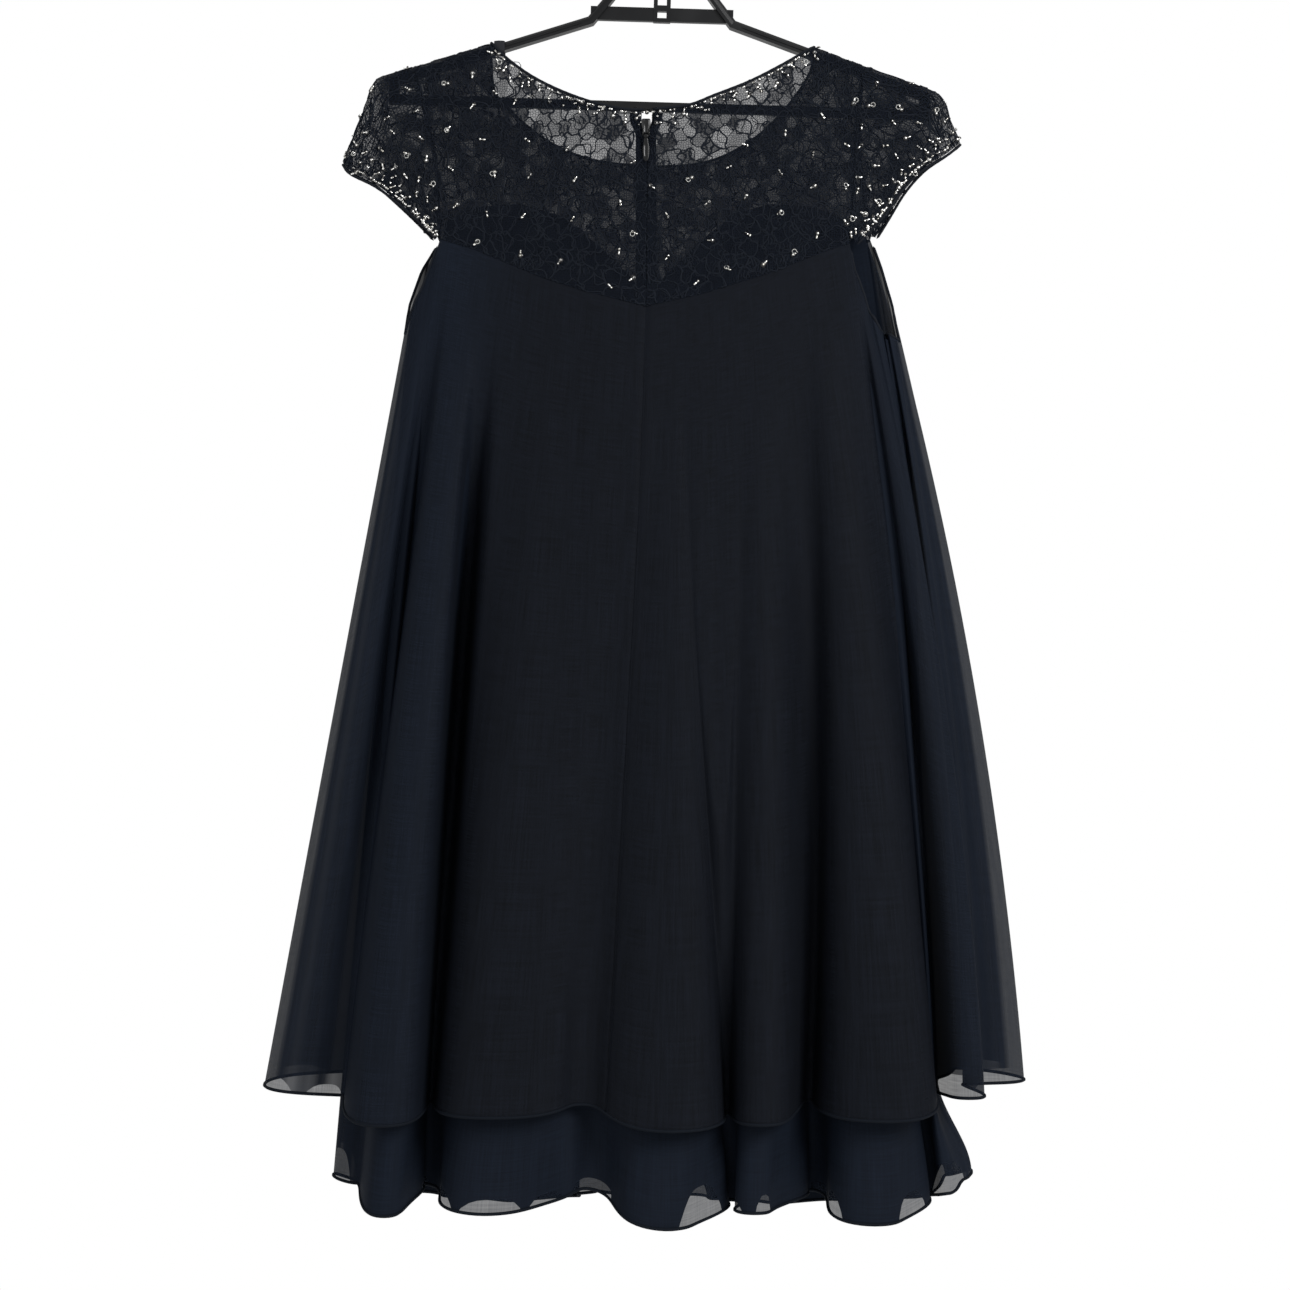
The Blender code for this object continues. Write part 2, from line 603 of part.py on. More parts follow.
def yokeGrid(top, bottom, seam, side):
    """Outer and inner face of half a yoke from the centre to the armhole."""
    angle, rest = foldSteps(yokeRows)
    share = np.linspace(0, 1, len(top))
    length = top[:, 1] - bottom[:, 1]
    down = foldRadius * (1 - np.cos(angle))[:, None] + (length - foldRadius)[None] * rest[:, None]
    part = (down / length)[..., None]
    flat = top[None] * (1 - part) + bottom[None] * part
    seamX = np.interp(-flat[:, -1, 1], -seam[:, 1], seam[:, 0])
    flat[..., 0] += (seamX - flat[:, -1, 0])[:, None] * share[None] ** 6
    x, z = flat[..., 0], flat[..., 1]
    depth = np.maximum(bodyDepth(x, z), 0.2)
    outer = np.stack([x, side * depth, z], axis=-1)
    return outer, outer - wall * bodyNormal(x, z, side)


def halfYoke(neck, which, side):
    """Faces of the half of a yoke on one side of the centre."""
    edge, seams = ((backTopEdge, backArmSeams), (frontTopEdge, frontArmSeams))[side > 0]
    top = yokeTop(neck, which)
    seam = armSeam(seams, which)
    # Below the neck the grid's lines run straight down, and below the shoulder they close towards the corner
    reach = np.maximum.accumulate(np.abs(top[:neckSteps, 0] - top[0, 0])) + 0.4 * np.arange(neckSteps)
    corner = abs(seam[-1, 0] - centreX)
    reach = np.append(reach, np.linspace(reach[-1], corner, shoulderSteps)[1:])
    bottomX = centreX + (-1, 1)[which] * reach
    edgeX, edgeZ = np.array(edge).T
    bottom = np.stack([bottomX, np.interp(bottomX, edgeX, edgeZ) + yokeLift], axis=1)
    faces = yokeGrid(top, bottom, seam, side)
    for grid in faces:
        grid[:, -1, 0] -= (-1, 1)[which] * seamGap / 2
    return faces


def addYokes(look):
    for which, name, neck in ((0, "yoke_back_left", backNeckLeft), (1, "yoke_back_right", backNeckRight)):
        outer, inner = halfYoke(neck, which, -1)
        for grid in (outer, inner):
            grid[:, 0, 0] += (-1, 1)[which] * zipParting(grid[:, 0, 2])
        addCloth(name, outer, inner, look)
    middle = len(frontNeck) // 2
    left = halfYoke(frontNeck[middle::-1], 0, 1)
    right = halfYoke(frontNeck[middle:], 1, 1)
    outer, inner = (np.concatenate([left[i][:, :0:-1], right[i]], axis=1) for i in (0, 1))
    addCloth("yoke_front", outer, inner, look)


# Sleeves


def sleeveFace(which, side, step, across):
    """Outer face of half a sleeve: step runs from its fold to the underarm, across from seam to hem."""
    seam = armSeam(backArmSeams if side < 0 else frontArmSeams, which)
    hem = (backHems if side < 0 else frontHems)[which]
    fold = (tuple(seam[0]), *sleeveFolds[which])
    seamZ = seam[0, 1] - seam[-1, 1]  # its height
    end = np.array([np.interp(seamZ - sleeveEndLift, seam[0, 1] - seam[:, 1], seam[:, i]) for i in (0, 1)])
    angle = np.minimum(step / foldShare, 1) * math.pi / 2
    rest = np.clip((step - foldShare) / (1 - foldShare), 0, 1)
    radius = foldRadius + (sleeveHemRadius - foldRadius) * smooth((across - 0.45) / 0.55)
    foldPoint = pathThrough(fold, across)
    endPoint = end + across[..., None] * (np.array(hem[-1]) - end)
    length = np.linalg.norm(endPoint - foldPoint, axis=-1)
    share = (radius * (1 - np.cos(angle)) + (length - radius) * rest) / length
    seamDown = foldRadius * (1 - np.cos(angle)) + (seamZ - foldRadius) * rest
    seamDown = np.minimum(seamDown, seamZ - sleeveEndLift)
    seamPoint = np.stack([np.interp(seamDown, seam[0, 1] - seam[:, 1], seam[:, i]) for i in (0, 1)], axis=-1)
    hemPoint = pathThrough((fold[-1], *hem), share)
    t, s = across[..., None], share[..., None]
    corners = (1 - t) * ((1 - s) * np.array(fold[0]) + s * end)
    corners = corners + t * ((1 - s) * np.array(fold[-1]) + s * np.array(hem[-1]))
    flat = (1 - t) * seamPoint + t * hemPoint + (1 - s) * foldPoint + s * endPoint - corners
    onBody = bodyDepth(seamPoint[..., 0], seamPoint[..., 1])
    ownDepth = radius * np.sin(angle) + (bodyDepth(end[0], end[1]) - radius) * rest
    depth = onBody + (ownDepth - onBody) * smooth(across / 0.5)
    return np.stack([flat[..., 0], side * depth, flat[..., 1]], axis=-1)


def sleeveGrid(which, half, cells):
    """A sleeve from the back underarm over its fold to the front, and its outward direction."""
    steps, shares = np.meshgrid(np.linspace(0, 1, half + 1), np.linspace(0, 1, cells + 1))
    back = sleeveFace(which, -1, steps, shares)
    front = sleeveFace(which, 1, steps, shares)
    outer = np.concatenate([back[:, :0:-1], front], axis=1)
    outer[:, half, 1] = 0
    normal = unit(np.cross(np.gradient(outer, axis=1), np.gradient(outer, axis=0)))
    if normal[0, 0, 1] > 0:
        normal = -normal
    side = np.where(np.arange(2 * half + 1) < half, -1.0, 1.0)
    normal[0] = bodyNormal(outer[0, :, 0], outer[0, :, 2], side)
    normal[0, half] = (0, 0, 1)
    return outer, normal


def addSleeve(name, which, look):
    outer, normal = sleeveGrid(which, sleeveHalfSteps, sleeveCells)
    inner = outer - wall * normal
    for grid in (outer, inner):
        grid[0, :, 0] += (-1, 1)[which] * seamGap / 2
    addCloth(name, outer, inner, look)


# Bindings


def neckBindingPath():
    """Middle of the neck binding, from the zip by the left shoulder, the front and the right shoulder."""
    middle = len(frontNeck) // 2
    lines = []
    for neck, which, side in (
        (backNeckLeft, 0, -1), (frontNeck[middle::-1], 0, 1), (frontNeck[middle:], 1, 1),
        (backNeckRight, 1, -1),
    ):
        line = neckLine(neck, which, bindingRadius)
        face = np.stack([line[:, 0], side * bodyDepth(line[:, 0], line[:, 1]), line[:, 1]], axis=1)
        lines.append(face + neckBindingLift * bodyNormal(line[:, 0], line[:, 1], side))
    for line, sign in ((lines[0], -1), (lines[3], 1)):
        line[0, 0] += sign * zipParting(zipTop)
    return np.vstack([lines[0], lines[1][-2::-1], lines[2][1:], lines[3][-2::-1]])


def addArmholeBinding(name, layer, low, high, look):
    """The binding along an armhole's edge below the sleeve."""
    place = np.linspace(low, high, stepsPerFold * (high - low) + 1)
    place[[0, -1]] += bindingEndShare * np.array([1, -1])
    edge = skirtPoint(layer, place, 0.0)
    below = skirtPoint(layer, place, 0.01)
    normal = skirtNormal(layer, place, np.zeros_like(place))
    along = unit(np.diff(edge, axis=0))
    up = edge - below
    sides = []
    for run in (np.vstack([along[:1], along]), np.vstack([along, along[-1:]])):
        sides.append(unit(up - np.sum(up * run, axis=-1, keepdims=True) * run))
    away = (sides[0] + sides[1]) / (1 + np.sum(sides[0] * sides[1], axis=-1, keepdims=True))
    path = edge - wall / 2 * normal + (bindingRadius + 2 * layerGap) * away
    addRod(name, path, bindingRadius, 5, look)


def addSleeveBinding(name, which, look):
    """The binding along a sleeve's hem."""
    outer, normal = sleeveGrid(which, sleeveHalfSteps, sleeveCells)
    along = unit(outer[-1] - outer[-2])
    path = outer[-1] - wall / 2 * normal[-1] + along * (bindingRadius + 1.5 * layerGap)
    addRod(name, path, bindingRadius, 5, look)


# Zip, hook and eye


def backFace(layer, side, distance, z):
    """Outer face and outward direction of the back at a distance from the zip, on yoke and skirt."""
    onYoke = z > backTopEdge[9][1]
    x = centreX + side * distance
    yoke = np.stack([x, -bodyDepth(x, z), z], axis=-1)
    yokeNormal = bodyNormal(x, z, -1)
    seamTop = skirtPoint(layer, zipFold, 0.0)[2]
    seamHem = skirtPoint(layer, zipFold, 1.0)[2]
    height = np.clip((z - seamTop) / (seamHem - seamTop), 0, 1)
    place = besideSeam(layer, zipFold, height, -side * distance)
    skirt = skirtPoint(layer, place, height)
    point = np.where(onYoke[..., None], yoke, skirt)
    normal = np.where(onYoke[..., None], yokeNormal, skirtNormal(layer, place, height))
    return point, normal


def addZipTapes(layer, look):
    seamTop = backTopEdge[9][1]
    z = np.concatenate([
        np.linspace(zipTop - tapeTopTurn, seamTop + yokeLift, 7),
        seamTop - yokeLift - np.array([0.0, 4.0, 12.0]),
        np.linspace(seamTop - 40, zipEnd, 7),
    ])
    for name, side in (("zip_tape_left", -1), ("zip_tape_right", 1)):
        edges = []
        for distance in (zipParting(z), zipParting(z) + tapeWidth):
            point, normal = backFace(layer, side, distance, z)
            edges.append((point - (wall + 2 * layerGap) * normal, normal))
        outer = np.stack([edge[0] for edge in edges], axis=1)
        normal = np.stack([edge[1] for edge in edges], axis=1)
        addCloth(name, outer, outer - tapeThickness * normal, look)


def mirrored(half):
    """An outline from its left half, rows of (half-width, height) from the top down."""
    return [(-x, z) for x, z in half] + [(x, z) for x, z in reversed(half)]


def addSlider(look):
    """The slider's face and the two ears that hold the pull's pin."""
    faceY = pinY + sliderFaceLift
    backY = -float(bodyDepth(centreX, sliderBottom)) - layerGap
    heights = (sliderTop, sliderTop - sliderShoulder, sliderBottom)
    outline = [(centreX + x, z) for x, z in mirrored(list(zip(sliderHalfWidths, heights)))]
    slider = addPrism("zip_slider", outline, faceY, backY, look)
    # Each ear comes off the face, goes down to the pin and closes under it, in (y, z)
    ear = (
        (faceY + 0.4, sliderBottom + earRise), (pinY - 1, pinHeight + 1), (pinY - 1, pinHeight - 1),
        (pinY + 1, pinHeight - 1), (faceY + 0.8, sliderBottom + 0.2),
    )
    pieces = []
    for sign in (-1, 1):
        ends = sorted(centreX + sign * x for x in earX)
        pieces.append(addPrism("ear", ear, *ends, look, depth=0))
    pinEnds = [(centreX + sign * pinHalfLength, pinY, pinHeight) for sign in (-1, 1)]
    pieces.append(addRod("pin", pinEnds, pinRadius, 12, look, (0, 0, 1)))
    joinTo(slider, pieces)


def addPull(look):
    """The teardrop pull, hung from the slider's pin by its eye. Its origin is on the pin."""
    half = [
        (pullNeck, knuckleRadius), (pullNeck, -2.0), (pullWidth / 2, -0.45 * pullLength),
        (pullWidth / 2 - 0.5, 3.0 - pullLength), (pullTipWidth / 2, -pullLength),
    ]
    pull = addPrism("zip_pull", mirrored(half), -pullThickness / 2, pullThickness / 2, look)
    knuckle = addRod("knuckle", [(-pullNeck, 0, 0), (pullNeck, 0, 0)], knuckleRadius, 16, look, (0, 0, 1))
    eye = addRod("eye", [(-2 * pullNeck, 0, 0), (2 * pullNeck, 0, 0)], eyeRadius, 16, look, (0, 0, 1))
    joinTo(pull, [knuckle])
    cutFrom(pull, [eye])
    for piece in (pull, knuckle, eye):
        piece.location = (centreX * metresPerMm, pinY * metresPerMm, pinHeight * metresPerMm)


def addHookAndEye(look):
    """The closed hook and eye across the top of the zip, inside the neck binding."""
    reach = zipPartedTop + hookReach
    y = -float(bodyDepth(centreX, zipTop)) + wall / 2 + bindingRadius + layerGap + hookAndEyeRadius
    z = zipTop - bindingRadius
    path = [(centreX - reach, y, z), (centreX, y, z - hookSag), (centreX + reach, y, z)]
    addRod("hook_and_eye", path, hookAndEyeRadius, 6, look)


# Hanger and its keeper of tape


def sweep(name, path, section, look):
    """A bar along a path in x and z: rows of the section are (up from the path, y)."""
    path = np.asarray(path, float)
    along = unit(np.diff(path, axis=0))
    joint = np.vstack([along[:1], unit(along[1:] + along[:-1]), along[-1:]])
    up = np.stack([-joint[:, 1], joint[:, 0]], axis=1)
    upright = np.stack([-along[1:, 1], along[1:, 0]], axis=1)
    stretch = np.concatenate([[1], 1 / np.sum(up[1:-1] * upright, axis=1), [1]])
    section = np.asarray(section, float)
    flat = path[:, None] + (up * stretch[:, None])[:, None] * section[None, :, :1]
    depth = np.broadcast_to(section[None, :, 1:], (len(path), len(section), 1))
    points = np.concatenate([flat[..., :1], depth, flat[..., 1:]], axis=-1).reshape(-1, 3)
    sides = len(section)
    faces = []
    for i in range(len(path) - 1):
        for j in range(sides):
            a, b = i * sides + j, i * sides + (j + 1) % sides
            faces += [(a, b, b + sides, a + sides)]
    faces += [tuple(range(sides))[::-1], tuple(range(len(points) - sides, len(points)))]
    return addObject(name, points, faces, look)


def box(name, x, y, z, look):
    """A block between two values of each of x, y and z."""
    return addPrism(name, ((x[0], z[0]), (x[1], z[0]), (x[1], z[1]), (x[0], z[1])), *y, look)


def addHanger(look):
    """The hanger in its own upright frame: arms, bars, neck members and hook in one, then tilted."""
    turn = np.radians((0, 30, 60, 90, 120, 150, 180))
    arch = [(armRadius * math.sin(a) - armRadius, armRadius * math.cos(a)) for a in turn]
    section = [*arch, (-armHeight, -armRadius), (-armHeight, armRadius)]
    sides = []
    for sign in (-1, 1):
        start = (neckFoot[0], hookBase - neckFoot[1])
        path = [(sign * x, z) for x, z in (start, neckKnee, armInner, armOuter)]
        sides.append(sweep("arm", path if sign > 0 else path[::-1], section, look))
    hanger = sides[0]
    hanger.name = "hanger"
    low = lowerBarTop - lowerBarHeight
    pieces = [sides[1]]
    for sign in (-1, 1):
        x = sorted((sign * armOuter[0], sign * (armOuter[0] - endWidth)))
        pieces.append(box("post", x, (-lowerBarDepth, lowerBarDepth), (low, armOuter[1] - 2), look))
    span = armOuter[0] - 0.5
    depth = (-lowerBarDepth / 2, lowerBarDepth / 2)
    pieces.append(box("lower bar", (-span, span), depth, (low + 0.01, lowerBarTop), look))
    crossWidth = armInner[0] - 2
    crossLow = crossBarTop - crossBarHeight
    depth = (-crossBarDepth / 2, crossBarDepth / 2)
    pieces.append(box("cross bar", (-crossWidth, crossWidth), depth, (crossLow, crossBarTop), look))
    strut = (-strutWidth / 2, strutWidth / 2)
    depth = (-crossBarDepth / 2 - 0.4, crossBarDepth / 2 + 0.4)
    pieces.append(box("strut", strut, depth, (crossLow - 0.6, hookBase - 4), look))
    bend = [(x, 0, hookBase + z) for x, z in hookFoot]
    turn = np.radians(np.linspace(*hookTurn, 23))
    middle = hookRadius + hookWire
    arc = [(middle * math.cos(a), 0, middle * math.sin(a) - hookRadius) for a in turn]
    pieces.append(addRod("hook", [*bend, *arc], hookWire, 12, look))
    slots = []
    half = slotWidth / 2
    for name, bottom, top in (
        ("slot in bar", crossLow + slotRim, crossBarTop - slotRim),
        ("slot above bar", crossBarTop + upperSlot[0], hookBase - upperSlot[1]),
    ):
        slots.append(box(name, (-half, half), (-9, 9), (bottom, top), look))
    joinTo(hanger, pieces)
    cutFrom(hanger, slots)
    for piece in (hanger, *pieces, *slots):
        piece.rotation_euler = (0, hangerTilt, 0)


def addShoulderTab(look):
    """A keeper of tape round the hanger's left arm, beside the neck: a square loop, slanted with the arm."""
    rings = []
    for x in tabX:
        top = float(shoulderLine(x)) - wall - layerGap
        low = top - 1.06 * armHeight - 2 * layerGap
        for half, out in ((armRadius + layerGap, 0), (armRadius + layerGap + tabThickness, tabThickness)):
            corners = ((-half, top + out), (half, top + out), (half, low - out), (-half, low - out))
            rings.append([(x, y, z) for y, z in corners])
    # the rings are the left end's inner and outer one, then the right end's
    faces = []
    for i in range(4):
        j = (i + 1) % 4
        faces += [
            (i, 4 + i, 4 + j, j), (8 + i, 8 + j, 12 + j, 12 + i), (4 + i, 12 + i, 12 + j, 4 + j),
            (i, j, 8 + j, 8 + i),
        ]
    addObject("shoulder_tab", np.array(rings).reshape(-1, 3), faces, look)


def addSkirt(outerLook, underLook):
    """The outer layer, and the longer under layer inside it, each of two backs and a front."""
    outerLayer = dict(
        folds=outerFolds, drop=yokeLift, inset=0.0, sideInset=0.0, armholeDrop=0.0, ripple=0.0,
        restDepth=restHalfDepth,
    )
    underLayer = dict(
        folds=underFolds, drop=3 * yokeLift, inset=wall + 1.3 * layerGap, sideInset=sideInset,
        armholeDrop=armholeDrop, ripple=rippleDepth, restDepth=restHalfDepth - underDepthLess,
    )

    def seamHalf(height):
        """Half of the gap between the outer backs."""
        return seamGap / 2

    def slitHalf(height):
        """Half of the gap in the under layer, which is sewn to the outer edges of the zip's tapes."""
        z = skirtPoint(underLayer, zipFold, height)[..., 2]
        return seamGap / 2 + (tapeWidth + layerGap) * smooth((z - zipEnd + 30) / 25)

    def side(which):
        """A side seam, at the same place at every height."""
        return lambda height: np.full_like(height, which)

    def centreBack(layer, turns, half, sign):
        """An edge beside the centre back, after a number of turns round the skirt."""
        return lambda height: besideSeam(layer, turns * foldCount + zipFold, height, sign * half(height))

    for kind, layer, look, half in (
        ("outer", outerLayer, outerLook, seamHalf), ("under", underLayer, underLook, slitHalf),
    ):
        left, right = centreBack(layer, 0, half, 1), centreBack(layer, 1, half, -1)
        leftSide, rightSide = side(leftSideFold), side(rightSideFold)
        addSkirtPanel(kind + "_back_left", layer, left, leftSide, (0, -1), look)
        addSkirtPanel(kind + "_front", layer, leftSide, rightSide, (1, 1), look)
        addSkirtPanel(kind + "_back_right", layer, rightSide, right, (-1, 0), look)
    return outerLayer


def main():
    for old in list(bpy.data.objects):
        bpy.data.objects.remove(old, do_unlink=True)
    lace = material("beaded lace", (0.018, 0.019, 0.024), 0.8)
    chiffon = material("chiffon", (0.012, 0.014, 0.018), 0.7)
    lining = material("lining", (0.008, 0.010, 0.014), 0.6)
    band = material("binding", (0.006, 0.007, 0.009), 0.7)
    tape = material("woven tape", (0.007, 0.008, 0.010), 0.8)
    painted = material("painted metal", (0.010, 0.011, 0.013), 0.35, 0.6)
    wire = material("black wire", (0.010, 0.010, 0.011), 0.35, 0.8)
    plastic = material("hanger plastic", (0.008, 0.009, 0.011), 0.35)
    outerLayer = addSkirt(chiffon, lining)
    addYokes(lace)
    for which, side in enumerate(("left", "right")):
        addSleeve("sleeve_" + side, which, lace)
        addSleeveBinding("sleeve_binding_" + side, which, band)
    addRod("neck_binding", neckBindingPath(), bindingRadius, 5, band)
    addArmholeBinding("armhole_binding_left", outerLayer, 5, 7, band)
    addArmholeBinding("armhole_binding_right", outerLayer, 17, 21, band)
    addZipTapes(outerLayer, tape)
    addSlider(painted)
    addPull(painted)
    addHookAndEye(wire)
    addHanger(plastic)
    addShoulderTab(tape)


main()
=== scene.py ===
import math

import bpy
import numpy as np
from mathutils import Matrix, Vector
from mathutils.geometry import delaunay_2d_cdt


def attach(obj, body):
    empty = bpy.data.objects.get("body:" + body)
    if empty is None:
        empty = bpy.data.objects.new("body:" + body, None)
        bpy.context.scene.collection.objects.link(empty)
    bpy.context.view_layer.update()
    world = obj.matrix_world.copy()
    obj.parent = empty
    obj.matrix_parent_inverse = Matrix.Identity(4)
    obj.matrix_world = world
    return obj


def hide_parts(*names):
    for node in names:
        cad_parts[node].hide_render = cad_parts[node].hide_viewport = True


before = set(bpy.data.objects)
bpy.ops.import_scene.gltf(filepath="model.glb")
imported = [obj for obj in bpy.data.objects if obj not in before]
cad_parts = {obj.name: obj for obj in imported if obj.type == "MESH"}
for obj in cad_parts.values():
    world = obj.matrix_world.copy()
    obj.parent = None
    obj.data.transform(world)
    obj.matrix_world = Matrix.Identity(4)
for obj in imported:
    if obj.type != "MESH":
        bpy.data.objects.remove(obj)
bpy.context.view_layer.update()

# A black cocktail dress on a hanger, seen from its back, which faces -Y. Sizes are in millimetres and
# meshes are scaled to metres as they are made. The origin is the inside top of the hanger's hook.

metresPerMm = 0.001
centreX = -16.8  # of the upper body, as it hangs
halfChest = 170.0

# Sizes that the part's own solids have too
cut = dict(
    wall=1.2, yokeLift=0.35, layerGap=0.4, hangerGap=0.8, foldRadius=7.0, widening=0.10, sideFlattening=0.55,
    hangerTilt=math.radians(1.7), armInner=(59.0, -139.0), armOuter=(216.0, -192.3),
    armRadius=5.1, armHeight=7.5,
)

# Edges as rows of (x, z), seen from the back
zipTop = -213.4
zipEnd = -718.0
backNeck = (
    ((-15.2, -213.4), (-33.5, -213.0), (-59.0, -207.4), (-84.4, -197.9), (-107.5, -185.9), (-127.0, -171.5)),
    ((-15.2, -213.4), (15.8, -209.8), (37.3, -201.6), (64.3, -190.7), (87.3, -178.8), (105.0, -168.6)),
)
frontNeck = (
    ((-16.0, -253.2), (-59.0, -247.8), (-88.4, -237.0), (-108.5, -224.0), (-125.4, -209.5), (-136.2, -198.0),
     (-139.8, -178.0)),
    ((-16.0, -253.2), (21.0, -251.4), (46.8, -244.2), (71.7, -229.7), (88.6, -214.4), (104.0, -196.0),
     (114.5, -178.0)),
)
# each neckline's half with its hand (0 is left) and its side, once round from the zip by the left shoulder
neckParts = ((backNeck[0], 0, -1), (frontNeck[0], 0, 1), (frontNeck[1], 1, 1), (backNeck[1], 1, -1))
neckShoulderX = (-139.5, 116.8)
sleeveShoulderX = (-202.4, 157.6)
backArmSeams = (
    ((-186.2, -244.0), (-183.1, -277.4), (-180.5, -318.1)),
    ((151.5, -212.5), (148.6, -270.0), (145.3, -321.3)),
)
frontArmSeams = (
    ((-187.5, -244.0), (-184.5, -277.4), (-183.0, -318.0)),
    ((155.0, -212.5), (156.5, -268.0), (164.0, -316.0)),
)
backTopEdge = (
    (-210.5, -392.0), (-200.4, -366.8), (-194.7, -356.9), (-186.5, -335.7), (-180.5, -318.1), (-152.5, -326.8),
    (-125.0, -338.6), (-98.7, -350.0), (-67.0, -360.5), (-16.8, -373.2), (29.0, -362.8), (78.8, -346.8),
    (103.5, -336.8), (129.2, -326.5), (145.3, -321.3), (149.7, -344.4), (157.1, -364.0), (161.0, -377.0),
    (170.0, -390.0), (187.0, -398.0),
)
frontTopEdge = (
    (-210.5, -392.0), (-207.5, -372.0), (-196.0, -340.0), (-183.0, -318.0), (-150.0, -328.5), (-98.7, -350.0),
    (-16.8, -373.2), (78.8, -346.8), (135.0, -325.0), (164.0, -316.0), (172.8, -340.8), (182.4, -372.8),
    (187.0, -398.0),
)
sweetheartEdge = (
    (-178.0, -300.0), (-154.6, -287.5), (-118.3, -284.5), (-86.0, -293.6), (-53.9, -317.8), (-29.7, -341.9),
    (-16.8, -355.6), (-1.5, -341.9), (26.7, -313.7), (54.9, -292.0), (83.1, -284.5), (119.4, -288.0),
    (158.0, -304.0),
)

# Skirt folds once round, from the centre back by the left side and the front. heading is the way the
# cloth runs at the hem (180 is -X), reach how far it keeps that way, start the share of the height at
# which the fold begins, bow its sideways curve at mid-height.
foldColumns = ("hemX", "hemY", "hemZ", "heading", "reach", "start", "topX", "bow")
outerFolds = np.array((
    (3, -104, -1010, 180, 150, 0.10, 8, 0), (-66, -72, -995, 180, 60, 0.30, -32, 0),
    (-136, -92, -1002, 180, 172, 0.10, -80, 0), (-187, -30, -1000, 180, 26, 0.10, -125, -7),
    (-220, -92, -1008, 180, 130, 0.06, -154, -4), (-257, -24, -996, 180, 30, 0.03, -180.5, -1),
    (-321.6, 2, -991, 90, 140, 0.00, -210.5, 0), (-256, 32, -986, 0, 30, 0.02, -183, 0),
    (-214, 90, -1002, 0, 120, 0.08, -150, 0), (-170, 34, -998, 0, 30, 0.15, -122, 0),
    (-108, 98, -1005, 0, 170, 0.10, -84, 0), (-58, 54, -998, 0, 35, 0.35, -48, 0),
    (-4, 100, -1006, 0, 150, 0.10, -16.8, 0), (50, 38, -998, 0, 30, 0.20, 34, 0),
    (108, 97, -1005, 0, 160, 0.10, 82, 4), (160, 34, -997, 0, 28, 0.12, 118, 8),
    (204, 84, -1002, 0, 110, 0.06, 143, 10), (238, 42, -985, 0, 25, 0.02, 164, 12),
    (287.2, 18, -990, 270, 70, 0.00, 187, 13), (236, -8, -990, 190, 25, 0.00, 176, 13),
    (238, -56, -993, 190, 80, 0.00, 160.8, 14), (213, -14, -995, 180, 25, 0.05, 145.3, 8),
    (168, -90, -1005, 180, 185, 0.06, 113, 8), (112.3, -22, -1000, 180, 28, 0.10, 93, 12),
    (72.6, -94, -1007, 180, 92, 0.12, 62, 5), (46.4, -50, -1006, 180, 22, 0.66, 30, 0),
), float)
underFolds = np.array((
    (3, -88, -1088, 180, 120, 0.10, 8, 0), (-66, -58, -1063, 180, 55, 0.30, -32, 0),
    (-136, -76, -1079, 180, 140, 0.10, -80, 0), (-194, -16, -1068, 180, 30, 0.10, -125, -7),
    (-219, -70, -1082, 180, 84, 0.06, -154, -4), (-247, -12, -1068, 180, 26, 0.03, -180.5, -1),
    (-267, 3, -1064, 90, 36, 0.00, -210.5, 0), (-247, 20, -1072, 0, 26, 0.02, -183, 0),
    (-214, 72, -1092, 0, 84, 0.08, -150, 0), (-170, 24, -1086, 0, 34, 0.15, -122, 0),
    (-108, 80, -1100, 0, 135, 0.10, -84, 0), (-58, 42, -1086, 0, 40, 0.35, -48, 0),
    (-4, 82, -1098, 0, 120, 0.10, -16.8, 0), (50, 27, -1088, 0, 34, 0.20, 34, 0),
    (108, 79, -1102, 0, 125, 0.10, 82, 4), (160, 24, -1088, 0, 32, 0.12, 118, 8),
    (203, 68, -1096, 0, 78, 0.06, 143, 10), (228, 32, -1070, 0, 20, 0.02, 164, 12),
    (244, 10, -1062, 270, 26, 0.00, 187, 13), (237, -10, -1065, 225, 26, 0.00, 176, 13),
    (222, -32, -1072, 200, 26, 0.00, 160.8, 13), (206, -12, -1078, 180, 26, 0.05, 145.3, 8),
    (165, -72, -1088, 180, 128, 0.06, 113, 8), (112, -10, -1074, 180, 33, 0.10, 93, 12),
    (73, -76, -1078, 180, 76, 0.12, 62, 5), (46, -40, -1076, 180, 26, 0.66, 30, 0),
), float)
foldCount = 26
zipFold = 0.62  # place of the centre back seam along the folds
sideFolds = (6, 18)
backCornerFolds = (5, 21)
frontCornerFolds = (7, 17)


def column(folds, name):
    # one column of a fold table, by its name
    return folds[:, foldColumns.index(name)]


def smooth(t):
    # 0 to 1 with level ends: 3 t squared minus 2 t cubed
    t = np.clip(t, 0.0, 1.0)
    return t * t * (3 - 2 * t)


def hermite(t, start, startSlope, end, endSlope):
    # cubic between two values with their slopes
    return (
        (2 * t**3 - 3 * t**2 + 1) * start + (t**3 - 2 * t**2 + t) * startSlope
        + (3 * t**2 - 2 * t**3) * end + (t**3 - t**2) * endSlope
    )


def fullTurn(count):
    # the angles of a number of even steps round a circle
    return np.arange(count) * 2 * math.pi / count


def rooted(value, power):
    # a power of a value's size, with the value's own sign
    return np.sign(value) * np.abs(value) ** power


def runAlong(path):
    # length along a path up to each of its points
    return np.concatenate([[0], np.cumsum(np.linalg.norm(np.diff(path, axis=0), axis=1))])


